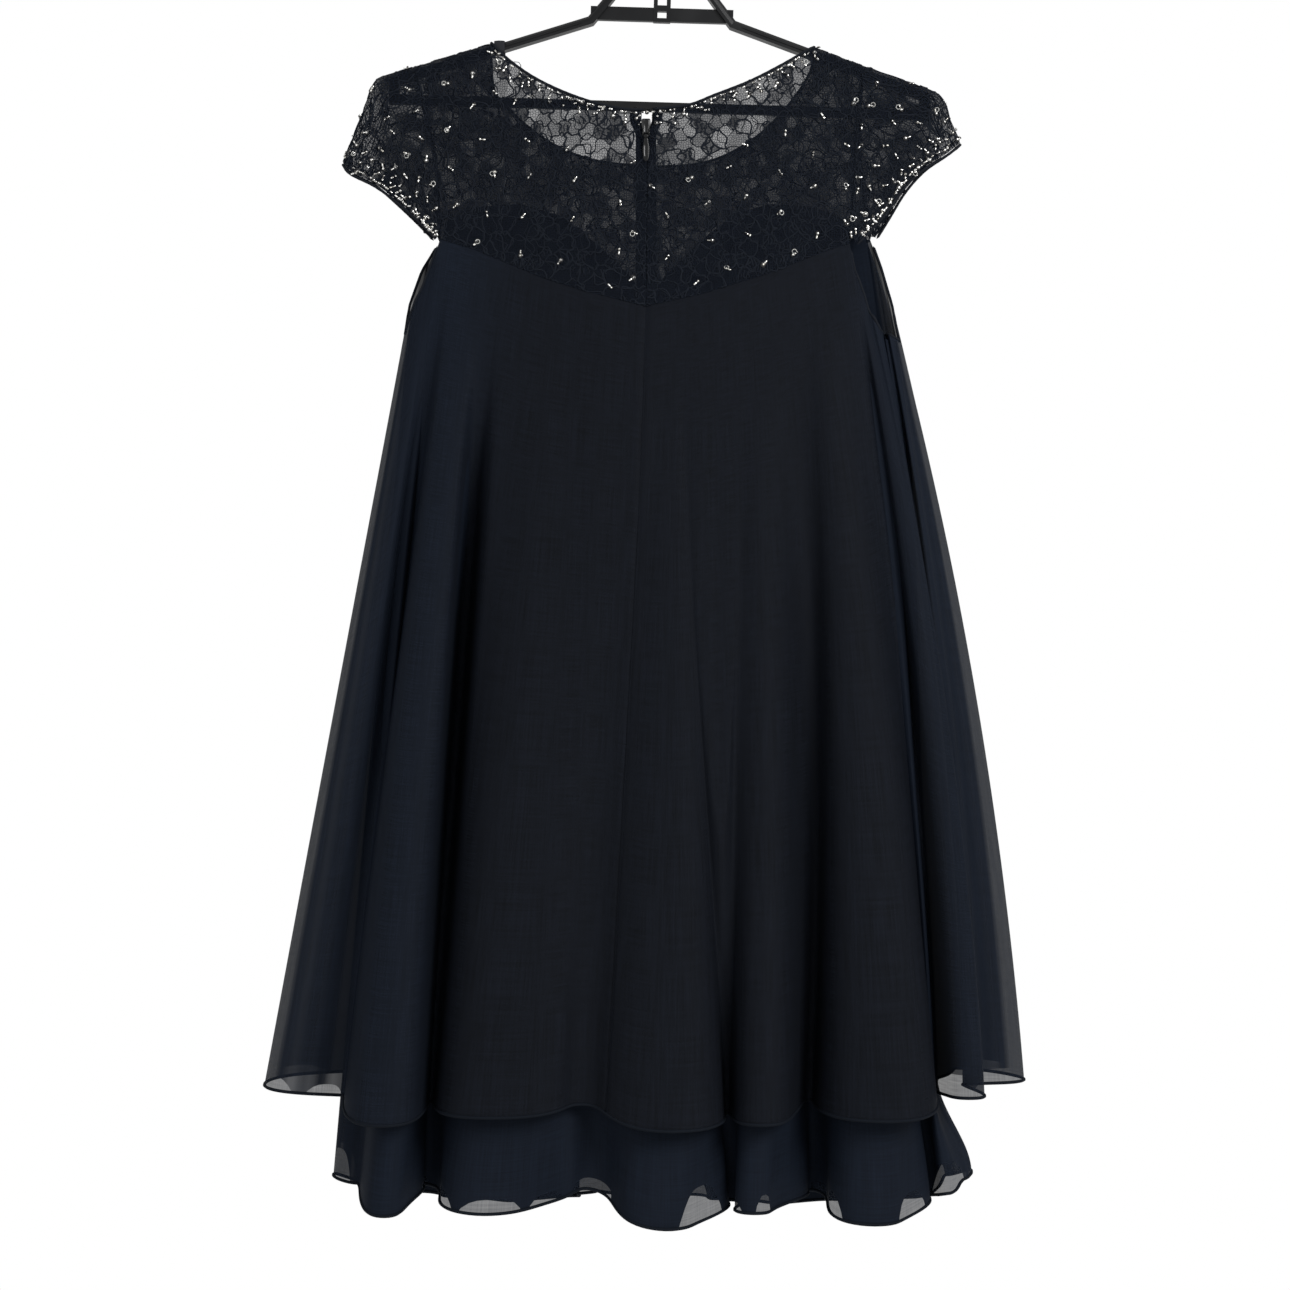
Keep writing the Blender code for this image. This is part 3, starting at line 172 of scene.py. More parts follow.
def loopThrough(values, slopes, place):
    # closed smooth curve whose row i is reached at place i
    count = len(values)
    index = np.floor(place).astype(int)
    return hermite(
        (place - index)[..., None], values[index % count], slopes[index % count],
        values[(index + 1) % count], slopes[(index + 1) % count],
    )


def evenSlopes(values):
    # slope at each row, parallel to the line between its two neighbours
    return (np.roll(values, -1, axis=0) - np.roll(values, 1, axis=0)) / 2


def pathThrough(points, share):
    # points at shares of an open smooth path's length, the path being cubic from row to row
    points = np.array(points, float)
    padded = np.vstack([2 * points[0] - points[1], points, 2 * points[-1] - points[-2]])
    slopes = (padded[2:] - padded[:-2]) / 2
    fine = np.linspace(0, len(points) - 1, 24 * len(points))
    index = np.minimum(fine.astype(int), len(points) - 2)
    follows = index + 1
    curve = hermite((fine - index)[:, None], points[index], slopes[index], points[follows], slopes[follows])
    length = runAlong(curve)
    wanted = np.asarray(share) * length[-1]
    return np.stack([np.interp(wanted, length, curve[:, i]) for i in range(points.shape[1])], axis=-1)


def joined(*parts):
    # numbers or arrays side by side, as the columns of points
    return np.stack(np.broadcast_arrays(*parts), axis=-1)


def unit(vectors):
    # directions of length one: each vector over its own length
    return vectors / np.maximum(np.linalg.norm(vectors, axis=-1, keepdims=True), 1e-9)


def tilted(x, z):
    # a point of the upright hanger, in the dress's frame
    turn = cut["hangerTilt"]
    return x * math.cos(turn) + z * math.sin(turn), z * math.cos(turn) - x * math.sin(turn)


armCorners = np.array([
    tilted(-cut["armOuter"][0], cut["armOuter"][1]), tilted(-cut["armInner"][0], cut["armInner"][1]),
    tilted(*cut["armInner"]), tilted(*cut["armOuter"]),
])


def shoulderLine(x):
    # height of the cloth's outer face where it lies on the hanger's arms
    return np.interp(x, armCorners[:, 0], armCorners[:, 1]) + cut["hangerGap"] + cut["wall"]


def bodyDepth(x, z):
    # half-depth of the upper body: a quarter circle over the arm, then widening downwards
    radius = cut["foldRadius"]
    below = np.maximum(shoulderLine(x) - z, 0.0)
    flat = 1 - cut["sideFlattening"] * np.clip(np.abs(x - centreX) / halfChest, 0, 1.1) ** 2
    rounded = np.sqrt(np.maximum(radius**2 - (radius - np.minimum(below, radius)) ** 2, 0.0))
    return rounded + cut["widening"] * flat * np.maximum(below - radius, 0.0)


def bodyNormal(x, z, side):
    # outward direction of the upper body; side is -1 for the back and 1 for the front
    step = 0.05
    below = shoulderLine(x) - z
    slopeX = (bodyDepth(x + step, z) - bodyDepth(x - step, z)) / (2 * step)
    slopeZ = (bodyDepth(x, z + step) - bodyDepth(x, z - step)) / (2 * step)
    plain = unit(joined(-slopeX, side, -slopeZ))
    up = np.clip(1 - below / cut["foldRadius"], 0, 1)
    onFold = joined(0, side * np.sqrt(1 - up**2), up)
    return np.where((below < cut["foldRadius"])[..., None], onFold, plain)


# meshes


def hexColour(text):
    # an sRGB hex colour as linear red, green, blue and alpha
    parts = [int(text[i:i + 2], 16) / 255 for i in (1, 3, 5)]
    return (*[c / 12.92 if c <= 0.04045 else ((c + 0.055) / 1.055) ** 2.4 for c in parts], 1.0)


def feed(node, sources):
    # a node's inputs by name: each takes a value, or a link from a socket or from a node's first output
    for name, source in dict(sources).items():
        if isinstance(source, bpy.types.Node):
            source = next(socket for socket in source.outputs if socket.enabled)
        if isinstance(source, bpy.types.NodeSocket):
            node.id_data.links.new(source, node.inputs[name])
        else:
            node.inputs[name].default_value = source


def addNode(tree, kind, settings=(), sources=()):
    # one node of a kind, with its settings and its inputs by name
    node = tree.nodes.new("ShaderNode" + kind)
    for name, value in dict(settings).items():
        setattr(node, name, value)
    feed(node, sources)
    return node


def gridFaces(rows, columns, closed=False):
    # four-sided faces of a grid numbered row by row; closed joins its last column to its first
    number = np.arange(rows * columns).reshape(rows, columns)
    if closed:
        number = np.hstack([number, number[:, :1]])
    corners = [number[:-1, :-1], number[:-1, 1:], number[1:, 1:], number[1:, :-1]]
    return np.stack(corners, axis=-1).reshape(-1, 4)


def addPiece(name, points, faces, finish, slot, nodes=(), body="dress", uv=None, values=()):
    # a piece from millimetre points, which stands for the part's own nodes; faces is an array, or a list of
    # arrays; uv is one pair for each point, and values are attributes by name
    mesh = bpy.data.meshes.new(name)
    faceSets = faces if isinstance(faces, list) else [faces]
    corners = [face for part in faceSets for face in part.tolist()]
    mesh.from_pydata((np.asarray(points) * metresPerMm).tolist(), [], corners)
    mesh.materials.append(finish)
    mesh.shade_smooth()
    if uv is not None:
        corner = np.empty(len(mesh.loops), np.int32)
        mesh.loops.foreach_get("vertex_index", corner)
        mesh.uv_layers.new(name="cloth").data.foreach_set("uv", np.asarray(uv, np.float32)[corner].ravel())
    for key, numbers in dict(values).items():
        attribute = mesh.attributes.new(key, "FLOAT", "POINT")
        attribute.data.foreach_set("value", np.asarray(numbers, np.float32).ravel())
    piece = bpy.data.objects.new(name, mesh)
    bpy.context.scene.collection.objects.link(piece)
    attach(piece, body)
    if nodes:
        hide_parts(*nodes)
    return piece


def addGrid(name, grid, finish, slot, nodes, **more):
    # a piece from a grid of points
    return addPiece(name, grid.reshape(-1, 3), gridFaces(*grid.shape[:2]), finish, slot, nodes, **more)


def tubes(paths, radius, sides, up, flatten=1.0):
    # sections carried along many paths at once: paths and up are (tubes, steps, 3), radius (tubes, steps).
    # Each section is along-path crossed with up, times cosine, plus up times sine.
    along = unit(np.gradient(paths, axis=1))
    across = unit(np.cross(along, up))
    rise = np.cross(across, along)
    turn = fullTurn(sides)
    ring = (
        across[:, :, None] * np.cos(turn)[None, None, :, None]
        + flatten * rise[:, :, None] * np.sin(turn)[None, None, :, None]
    )
    points = paths[:, :, None] + ring * np.asarray(radius)[..., None, None]
    count, steps = paths.shape[:2]
    one = gridFaces(steps, sides, closed=True)
    faces = (one[None] + (np.arange(count) * steps * sides)[:, None, None]).reshape(-1, 4)
    return points.reshape(-1, 3), faces[:, ::-1]


def tube(path, radius, sides, up, closed=False, flatten=1.0):
    # one tube, ended by a small cone, or joined to its own start
    path = np.asarray(path, float)
    up = np.broadcast_to(np.asarray(up, float), path.shape)
    size = np.broadcast_to(np.asarray(radius, float), path.shape[:1]).copy()
    if closed:
        path, up, size = (np.concatenate([a, a[:2]]) for a in (path, up, size))
    else:
        size[[0, -1]] *= 0.03
    return tubes(path[None], size[None], sides, up[None], flatten)


def copies(shape, faces, places, along, up, size):
    # a small shape repeated: its x goes along, its z up; size is one number for each copy
    along = unit(along - np.sum(along * up, axis=-1, keepdims=True) * up)
    across = np.cross(up, along)
    axes = np.stack([along, across, up], axis=1)
    points = places[:, None] + size[:, None, None] * np.einsum("pk,nkd->npd", shape, axes)
    number = (np.arange(len(places)) * len(shape))[:, None, None]
    return points.reshape(-1, 3), (faces[None] + number).reshape(-1, faces.shape[1])


def merged(parts):
    # several (points, faces) sets as one, with their faces kept as a list of arrays
    points, faces, start = [], [], 0
    for somePoints, someFaces in parts:
        points.append(somePoints)
        faces.append(someFaces + start)
        start += len(somePoints)
    return np.vstack(points), faces


def onGrid(grid, u, v):
    # the grid's value at u across its columns and v down its rows, both 0 to 1, blended from four points
    rows, columns = grid.shape[:2]
    x, y = np.clip(u, 0, 1) * (columns - 1), np.clip(v, 0, 1) * (rows - 1)
    i, j = np.minimum(x.astype(int), columns - 2), np.minimum(y.astype(int), rows - 2)
    fx, fy = (x - i)[..., None], (y - j)[..., None]
    top = grid[j, i] * (1 - fx) + grid[j, i + 1] * fx
    return top * (1 - fy) + (grid[j + 1, i] * (1 - fx) + grid[j + 1, i + 1] * fx) * fy


def gridNormal(grid):
    # outward direction from a grid's two directions, columns crossed with rows
    return unit(np.cross(np.gradient(grid, axis=1), np.gradient(grid, axis=0)))


# finishes


def shaderOf(name, colour, roughness, **sockets):
    # a material with one Principled shader, its colour, its roughness and any other sockets by name
    made = bpy.data.materials.new(name)
    made.use_nodes = True
    shader = made.node_tree.nodes["Principled BSDF"]
    feed(shader, {"Base Color": hexColour(colour), "Roughness": roughness})
    feed(shader, {key.replace("_", " "): value for key, value in sockets.items()})
    return made, made.node_tree, shader


chiffonFinish = dict(
    colour="#0d0f13", paler="#14171e", sideShade="#11161e", sideShadePaler="#171d28",  # of its yarns, darkest first, then the bluer painted shade colours for the sides, darkest first
    yarnMm=0.5, slubMm=3.2, slubShare=0.4,  # spacing of the yarns and of the thicker ones, how these show
    opacity=0.80, relief=0.25,
)
liningFinish = dict(chiffonFinish, colour="#10141c", paler="#151b25", sideShade="#10151d", sideShadePaler="#171d28")


def makeChiffon(name, look):
    # polyester chiffon: thin twisted yarns in plain weave, so it is matt, grainy along the warp and half
    # clear; painted shade: its colour turns bluer where a point attribute says that the cloth turns away to the
    # sides
    made, tree, shader = shaderOf(name, look["colour"], 0.72, Specular_IOR_Level=0.05)
    cloth = addNode(tree, "UVMap", dict(uv_map="cloth"))
    warp = 1 / look["yarnMm"], 0.02, 1
    weft = 0.05, 1 / (2 * look["yarnMm"]), 1
    slub = 1 / look["slubMm"], 0.012, 1
    grains = []
    for scale in (warp, weft, slub):
        drawn = addNode(tree, "Mapping", sources=dict(Vector=cloth, Scale=scale))
        noise = dict(Vector=drawn, Scale=1.0, Detail=2.0)
        grains.append(addNode(tree, "TexNoise", dict(noise_dimensions="2D"), noise))
    crossed = addNode(tree, "Math", dict(operation="ADD"), {0: grains[0], 1: grains[1]})
    faint = addNode(tree, "Math", dict(operation="MULTIPLY_ADD"),
                    {0: grains[2], 1: look["slubShare"], 2: (1 - look["slubShare"]) / 2})
    grain = addNode(tree, "Math", dict(operation="ADD"), {0: crossed, 1: faint})
    spread = {"Value": grain, "From Min": 1.1, "From Max": 1.9}
    tone = addNode(tree, "MapRange", sources=spread)
    # painted shade: a point attribute, highest at the sides, mixes in the bluer shade colours
    sideShade = addNode(tree, "Attribute", dict(attribute_name="sideShade")).outputs["Fac"]
    shades = [
        addNode(tree, "Mix", dict(data_type="RGBA"),
                {0: sideShade, "A": hexColour(look[yarnKey]), "B": hexColour(look[shadeKey])})
        for yarnKey, shadeKey in (("colour", "sideShade"), ("paler", "sideShadePaler"))
    ]
    blend = addNode(tree, "Mix", dict(data_type="RGBA"), {0: tone, "A": shades[0], "B": shades[1]})
    relief = addNode(tree, "Bump", sources=dict(Strength=look["relief"], Distance=0.0002, Height=grain))
    cover = addNode(tree, "MapRange",
                    sources={**spread, "To Min": look["opacity"] - 0.05, "To Max": look["opacity"] + 0.05})
    # where the layer is backed, which the attribute says, it lets less light through, but not where
    # "alone", in mm, is above nothing
    lined = addNode(tree, "Attribute", dict(attribute_name="lined")).outputs["Fac"]
    alone = addNode(tree, "Attribute", dict(attribute_name="alone")).outputs["Fac"]
    paired = addNode(tree, "MapRange", dict(interpolation_type="SMOOTHSTEP"),
                     {"Value": alone, "From Min": -0.8, "From Max": 0.8, "To Min": 1.0, "To Max": 0.0})
    backed = addNode(tree, "Math", dict(operation="MULTIPLY"), {0: lined, 1: paired})
    opaque = addNode(tree, "Math", dict(operation="MAXIMUM"), {0: cover, 1: backed})
    feed(shader, {"Base Color": blend, "Normal": relief, "Alpha": opaque})
    return made


laceFinish = dict(thread="#070a0f", paler="#10151f", netMm=1.9, threadMm=0.42, gauze=0.77, petal=0.97)


def makeLaceNet(name):
    # cotton and nylon lace ground: a fine uneven net with petals worked closer, so it lets light through
    look = laceFinish
    made, tree, shader = shaderOf(name, look["thread"], 0.85, Specular_IOR_Level=0.08)
    cloth = addNode(tree, "UVMap", dict(uv_map="cloth"))
    net = addNode(tree, "TexVoronoi", dict(voronoi_dimensions="2D", feature="DISTANCE_TO_EDGE"),
                  dict(Vector=cloth, Scale=1 / look["netMm"], Randomness=0.8))
    half = look["threadMm"] / 2 / look["netMm"]
    thread = addNode(tree, "MapRange", dict(interpolation_type="SMOOTHSTEP"),
                     {"Value": net, "From Min": half * 0.6, "From Max": half * 1.5,
                      "To Min": 1.0, "To Max": 0.0})
    petal = addNode(tree, "Attribute", dict(attribute_name="petal")).outputs["Fac"]
    ground = addNode(tree, "MapRange", dict(clamp=False),
                     {"Value": petal, "To Min": look["gauze"], "To Max": look["petal"]})
    cover = addNode(tree, "Math", dict(operation="MAXIMUM"), {0: thread, 1: ground})
    blend = addNode(tree, "Mix", dict(data_type="RGBA"),
                    {0: thread, "A": hexColour(look["thread"]), "B": hexColour(look["paler"])})
    relief = addNode(tree, "Bump", sources=dict(Strength=0.5, Distance=0.0003, Height=thread))
    feed(shader, {"Base Color": blend, "Normal": relief, "Alpha": cover})
    return made


def makeThread(name, colour, paler, yarnMm, roughness=0.8, **sockets):
    # twisted or woven yarn: fine uneven tone at the yarn's own spacing, on Object coordinates
    made, tree, shader = shaderOf(name, colour, roughness, **sockets)
    where = addNode(tree, "TexCoord").outputs["Object"]
    yarn = addNode(tree, "TexNoise", sources=dict(Vector=where, Scale=1000 / yarnMm, Detail=3.0))
    blend = addNode(tree, "Mix", dict(data_type="RGBA"),
                    {0: yarn, "A": hexColour(colour), "B": hexColour(paler)})
    relief = addNode(tree, "Bump", sources=dict(Strength=0.4, Distance=0.0003, Height=yarn))
    feed(shader, {"Base Color": blend, "Normal": relief})
    return made


def makePlastic(name):
    # injection-moulded polypropylene: black, satin, with a fine moulded grain and faint handling marks
    made, tree, shader = shaderOf(name, "#0c0d0f", 0.32, Specular_IOR_Level=0.28)
    where = addNode(tree, "TexCoord").outputs["Object"]
    grain = addNode(tree, "TexNoise", sources=dict(Vector=where, Scale=900.0, Detail=2.0))
    worn = addNode(tree, "TexNoise", sources=dict(Vector=where, Scale=35.0, Detail=4.0))
    rough = addNode(tree, "MapRange", sources={
        "Value": worn, "From Min": 0.3, "From Max": 0.7, "To Min": 0.26, "To Max": 0.42})
    relief = addNode(tree, "Bump", sources=dict(Strength=0.08, Distance=0.0002, Height=grain))
    feed(shader, dict(Roughness=rough, Normal=relief))
    return made


def makeGlaze(name, colour, roughness, **sockets):
    # glass, glaze or enamel: smooth, with a slight unevenness in its gloss
    made, tree, shader = shaderOf(name, colour, roughness, **sockets)
    where = addNode(tree, "TexCoord").outputs["Object"]
    uneven = addNode(tree, "TexNoise", sources=dict(Vector=where, Scale=420.0, Detail=1.0))
    low, high = roughness * 0.6, roughness * 1.4
    rough = addNode(tree, "MapRange", sources={"Value": uneven, "To Min": low, "To Max": high})
    feed(shader, dict(Roughness=rough))
    return made


def makeGlass(name):
    # glass beads with a silver lining, coloured with painted highlights and painted dark reflections: small random
    # cells, near-white, grey or dark
    made, tree, shader = shaderOf(name, "#8f8d86", 0.14, Metallic=0.85)
    where = addNode(tree, "TexCoord").outputs["Object"]
    # painted highlights and reflections: each cell, about 1.1 mm wide, takes one of three tones at random
    paintedGlints = addNode(tree, "TexVoronoi", dict(feature="F1"), dict(Vector=where, Scale=1000 / 1.1))
    tone = addNode(tree, "SeparateColor", sources={"Color": paintedGlints.outputs["Color"]})
    glintRamp = addNode(tree, "ValToRGB", sources={"Fac": tone})
    glintRamp.color_ramp.interpolation = "CONSTANT"
    stops = glintRamp.color_ramp.elements
    stops[0].color, stops[1].color = hexColour("#222226"), hexColour("#fbfaf6")
    stops[1].position = 0.48
    stops.new(0.26).color = hexColour("#aba8a0")
    feed(shader, {"Base Color": glintRamp})
    return made


chiffon = makeChiffon("polyester chiffon", chiffonFinish)
liningChiffon = makeChiffon("polyester chiffon over lining", liningFinish)
laceNet = makeLaceNet("floral lace ground")
laceCord = makeThread("lace gimp thread", "#0a0c10", "#20252e", 0.45, Specular_IOR_Level=0.08)
rolledEdge = makeThread("rolled chiffon edge", "#0a0d12", "#141921", 0.5, Specular_IOR_Level=0.08)
boundEdge = makeThread("self cloth binding", "#0c0e13", "#171b22", 0.6, Specular_IOR_Level=0.12)
wovenTape = makeThread("woven zip tape", "#0a0c10", "#151920", 0.5, Specular_IOR_Level=0.1)
charcoalTape = makeThread("charcoal tape", "#17181b", "#2b2c30", 0.6, Specular_IOR_Level=0.15)
silverBead = makeGlass("silver-lined glass")
blackCup = makeGlaze("black sequin film", "#0c0d10", 0.18, IOR=1.5, Coat_Weight=0.35, Coat_Roughness=0.06)
clearRing = makeGlaze("clear sequin film", "#f2f2ee", 0.08, IOR=1.5, Transmission_Weight=0.7)
enamel = makeGlaze("black enamelled zinc", "#08090a", 0.3, Specular_IOR_Level=0.3, Coat_Weight=0.15,
                   Coat_Roughness=0.1)
nylonCoil = makeGlaze("nylon zip coil", "#14161b", 0.4, IOR=1.53)
wireEnamel = makeGlaze("lacquered hook wire", "#17181b", 0.28, Metallic=0.8)
hangerPlastic = makePlastic("moulded polypropylene")
print("finishes made")


# skirt: two layers, each of two backs and a front

skirt = dict(
    foldGrowth=1.15,  # power by which a fold deepens towards the hem
    restHalfWidth=312.0, restCentreX=-17.0,  # of the oval that the hem would hang in without its folds
    columnsPerFold=22, rows=120,
    seamSink=0.9, seamWidth=2.4,  # how far, and over what width, the cloth dips into the zip seam
    hemRadius=1.3, warpMm=46.0,  # the rolled edge, and the cloth's width for one fold
    # deep creases between the main folds: place at mid-height, places that it moves from top to hem, half
    # width in folds, depth in mm, and the heights where each begins, is deepest and ends
    creases=((3.14, -0.5, 0.32, 42.0, 0.08, 0.48, 1.03), (4.90, 0.0, 0.30, 17.0, 0.02, 0.40, 0.90),
             (20.72, -0.3, 0.20, 13.0, 0.02, 0.34, 0.85), (19.10, 0.0, 0.14, 10.0, -1.0, 0.0, 0.50),
             (19.62, 0.0, 0.26, -2.2, -1.0, 0.0, 0.45)),
)
# open is where a layer's hem hangs alone: rows of place round it, half width in folds and height in mm
outerLayer = dict(
    folds=outerFolds, drop=0.35, inset=0.0, sideInset=0.0, armholeDrop=0.0, restDepth=88.0, length=690.0,
    soft=1.5, ripple=0.0, flare=(), backed=0.96, sideOpen=(0.30, 0.42), topOpen=0.4,
    open=((5.80, 0.26, 12.0), (5.22, 0.20, 8.0), (6.3, 0.4, 8.0), (18.4, 0.50, 13.0), (20.2, 0.75, 19.0),
          (17.5, 0.4, 9.0), (9.0, 1.0, 8.0), (15.0, 1.0, 8.0)),
)
underLayer = dict(
    folds=underFolds, drop=1.05, inset=1.72, sideInset=2.8, armholeDrop=3.0, restDepth=72.0, length=760.0,
    soft=0.8, ripple=6.5, flare=(18.4, 1.6, 27.0, 0.89), backed=1.0, sideOpen=(0.1, 0.1), topOpen=9.0,
    open=((5.62, 0.42, 26.0), (2.42, 0.17, 12.0), (2.0, 0.20, 11.0), (1.55, 0.18, 8.0), (0.85, 0.36, 9.0),
          (0.10, 0.13, 10.0), (25.68, 0.27, 28.0), (24.42, 0.22, 9.0), (23.97, 0.10, 14.0), (22.8, 0.22, 8.0),
          (22.38, 0.13, 17.0), (21.62, 0.20, 17.0), (20.0, 0.95, 25.0), (3.1, 0.2, 9.0), (6.38, 0.48, 27.0),
          (7.4, 0.4, 16.0), (9.2, 0.4, 11.0), (11.0, 0.6, 15.0), (12.1, 0.35, 16.0), (13.6, 0.3, 9.0),
          (15.2, 0.4, 14.0), (16.6, 0.3, 12.0)),
)


def onFront(place):
    # which places lie on the front, between the two side folds
    return (place > sideFolds[0]) & (place < sideFolds[1])


def insetOf(layer, x):
    # how far a layer lies inside the outer one, more towards the sides
    return layer["inset"] * (1 + 0.6 * np.abs(x - centreX) / halfChest)


def topEdge(layer, place):
    # a layer's top edge along its folds: level with the yoke's lower edge, then down the armholes
    topX = column(layer["folds"], "topX")
    around = place % foldCount
    x = np.interp(around, np.arange(foldCount + 1), np.append(topX, topX[0]))
    points = []
    for side, edge, corners in ((-1, backTopEdge, backCornerFolds), (1, frontTopEdge, frontCornerFolds)):
        edgeX, edgeZ = np.array(edge).T
        z = np.interp(x, edgeX, edgeZ)
        left, right = sorted(topX[list(corners)])
        depth = bodyDepth(x, z) - insetOf(layer, x)
        for corner, end in ((left, edgeX[0]), (right, edgeX[-1])):
            past = np.clip((x - corner) / (end - corner), 0, 1)
            cornerDepth = bodyDepth(corner, np.interp(corner, edgeX, edgeZ)) - 1.6 * layer["inset"]
            depth = np.where(past > 0, cornerDepth * np.sqrt(1 - past), depth)
            z = z - layer["armholeDrop"] * (past > 0)
        movedX = x - layer["sideInset"] * np.clip((x - centreX) / halfChest, -1, 1)
        points.append(joined(movedX, side * depth, z - layer["drop"]))
    return np.where(onFront(around)[..., None], points[1], points[0])


def skirtPoint(layer, place, height):
    # a layer's main form: top edge to hem in straight lines, folded by the hem's own closed curve, which
    # grows with the height to a power; place counts folds round it, height is 0 at the top and 1 at the hem
    folds = layer["folds"]
    place, height = np.broadcast_arrays(np.asarray(place, float), np.asarray(height, float))
    hem = joined(column(folds, "hemX"), column(folds, "hemY"))
    heading = np.radians(column(folds, "heading"))
    slopes = column(folds, "reach")[:, None] * joined(np.cos(heading), np.sin(heading))
    share = np.clip(np.abs(hem[:, 0] - skirt["restCentreX"]) / skirt["restHalfWidth"], 0, 0.97)
    rest = hem.copy()
    side = np.where(onFront(np.arange(foldCount)), 1, -1)
    rest[:, 1] = side * layer["restDepth"] * np.sqrt(1 - share**2)
    rest[list(sideFolds)] = hem[list(sideFolds)]
    folded = loopThrough(hem, slopes, place)
    unfolded = loopThrough(rest, evenSlopes(rest), place)
    level = {}
    for name in ("hemZ", "start"):
        values = column(folds, name)[:, None]
        level[name] = loopThrough(values, values * 0, place)[..., 0]
    bow = column(folds, "bow")[:, None]
    bowed = loopThrough(bow, evenSlopes(bow), place)[..., 0]
    grown = np.clip((height - level["start"]) / (1 - level["start"]), 0, 1) ** skirt["foldGrowth"]
    top = topEdge(layer, place)
    down = height[..., None]
    flat = top[..., :2] + (unfolded - top[..., :2]) * down + (folded - unfolded) * grown[..., None]
    x = flat[..., 0] + bowed * 4 * height * (1 - height)
    z = top[..., 2] + (level["hemZ"] - top[..., 2]) * height
    y = flat[..., 1]
    if layer["flare"]:
        # the right side hangs in from its hem, then swings out to it
        middle, half, inset, turn = layer["flare"]
        near = np.exp(-((((place % foldCount) - middle) / half) ** 2))
        x = x - inset * near * smooth(height / 0.6) * (1 - smooth((height - turn) / (1 - turn)))
    for middle, drift, half, depth, begin, deepest, end in skirt["creases"]:
        across = np.exp(-((((place % foldCount) - middle - drift * (height - 0.5)) / half) ** 4))
        deep = smooth((height - begin) / (deepest - begin))
        deep = deep * (1 - smooth((height - deepest) / (end - deepest)))
        y = y + depth * across * deep
    return joined(x, y, z)


def skirtNormal(layer, place, height):
    # outward direction of a layer, from small steps along it and down it
    step = 0.004
    low, high = np.clip(height - step, 0, 1), np.clip(height + step, 0, 1)
    along = skirtPoint(layer, place + step, height) - skirtPoint(layer, place - step, height)
    down = skirtPoint(layer, place, high) - skirtPoint(layer, place, low)
    return unit(np.cross(along, down))


def fromSide(place):
    # how many folds a place is away from the nearer side fold
    around = place % foldCount
    return np.minimum(np.abs(around - sideFolds[0]), np.abs(around - sideFolds[1]))


# shallow folds between the main ones, as rows of share of the depth, waves in a fold, drift and phase
shallowFolds = ((0.62, 0.73, 1.7, 0.0), (0.32, 1.31, 2.3, 1.1), (0.06, 2.77, 4.0, 0.4))


def softFolds(layer, place, height):
    # the shallow folds, which are sines along the folds whose phase drifts with the height, deeper towards
    # the hem, and the ripples of the under layer's lower edge
    drift = 0.9 * np.sin(2.1 * height + 0.37 * place)
    shallow = sum(share * np.sin(2 * math.pi * waves * place + drifts * drift + phase)
                  for share, waves, drifts, phase in shallowFolds)
    depth = layer["soft"] * shallow * smooth(height / 0.35) * (0.35 + 0.65 * height)
    ripple = layer["ripple"] * smooth((height - 0.86) / 0.14) * np.sin(2 * math.pi * place)
    return depth + ripple * smooth((fromSide(place) - 1.5) / 2)


def skirtFace(layer, place, height):
    # the finished face of a layer, with its shallow folds
    soft = softFolds(layer, place, height)[..., None]
    return skirtPoint(layer, place, height) + soft * skirtNormal(layer, place, height)


def besideSeam(layer, place, height, distance):
    # the place at a distance along the cloth from a seam, at each height
    step = 0.05
    run = skirtPoint(layer, place + step, height) - skirtPoint(layer, place - step, height)
    return place + distance * 2 * step / np.linalg.norm(run, axis=-1)


def backedShare(layer, place, height):
    # how opaque a layer's backing makes it: thin at its side folds, where nothing lies behind it, wider
    # below the right armhole by topOpen, and streaked there by sines along the folds
    share = np.full(np.shape(place), layer["backed"])
    streak = 0.6 * np.sin(2 * math.pi * 2.3 * place) + 0.4 * np.sin(2 * math.pi * 5.1 * place + 2)
    for side, wide in zip(sideFolds, layer["sideOpen"]):
        away = np.abs(place - side)
        wide = wide * (1 + layer["topOpen"] * (side == sideFolds[1]) * (1 - smooth(height / 0.28)))
        share = share * smooth((away - 0.03) / wide) + 0.05 * streak * smooth(1.5 - away)
    return np.clip(share, 0, 1)


def sideShadeShare(place):
    # share of the painted shade colour: 0.85 up to one fold from the side folds, falling smoothly to 0 four folds
    # away from them
    return 0.85 - 0.85 * smooth((fromSide(place) - 1) / 3)


def aloneBy(layer, place, height):
    # how many mm a point lies inside one of the parts of the hem where the layer hangs alone: each stands
    # on the hem, its top falling off with the cube of the distance from its middle
    above = (1 - height) * layer["length"]
    inside = np.full(np.shape(place), -50.0)
    for middle, half, tall in layer["open"]:
        past = np.abs(place - middle) / half
        inside = np.maximum(inside, tall * (1 - past**3) - above)
    return np.maximum(inside, -50)


def bodiceRows(layer, place):
    # rows of the under front above the skirt's seam, from its sweetheart top down to the seam
    edge = topEdge(layer, place)
    edgeX, edgeZ = np.array(sweetheartEdge).T
    onBody = (place >= frontCornerFolds[0]) & (place <= frontCornerFolds[1])
    x = np.where(onBody, np.clip(edge[:, 0], edgeX[0], edgeX[-1]), edge[:, 0])
    z = np.where(onBody, np.interp(x, edgeX, edgeZ), edge[:, 2] + layer["armholeDrop"])
    share = np.linspace(1, 0, 24)[:-1, None]
    rowX = edge[:, 0] + (x - edge[:, 0]) * share
    rowZ = edge[:, 2] + (z - edge[:, 2]) * share
    depth = np.where(onBody, bodyDepth(rowX, rowZ) - insetOf(layer, rowX), edge[:, 1])
    return joined(rowX, depth, rowZ)


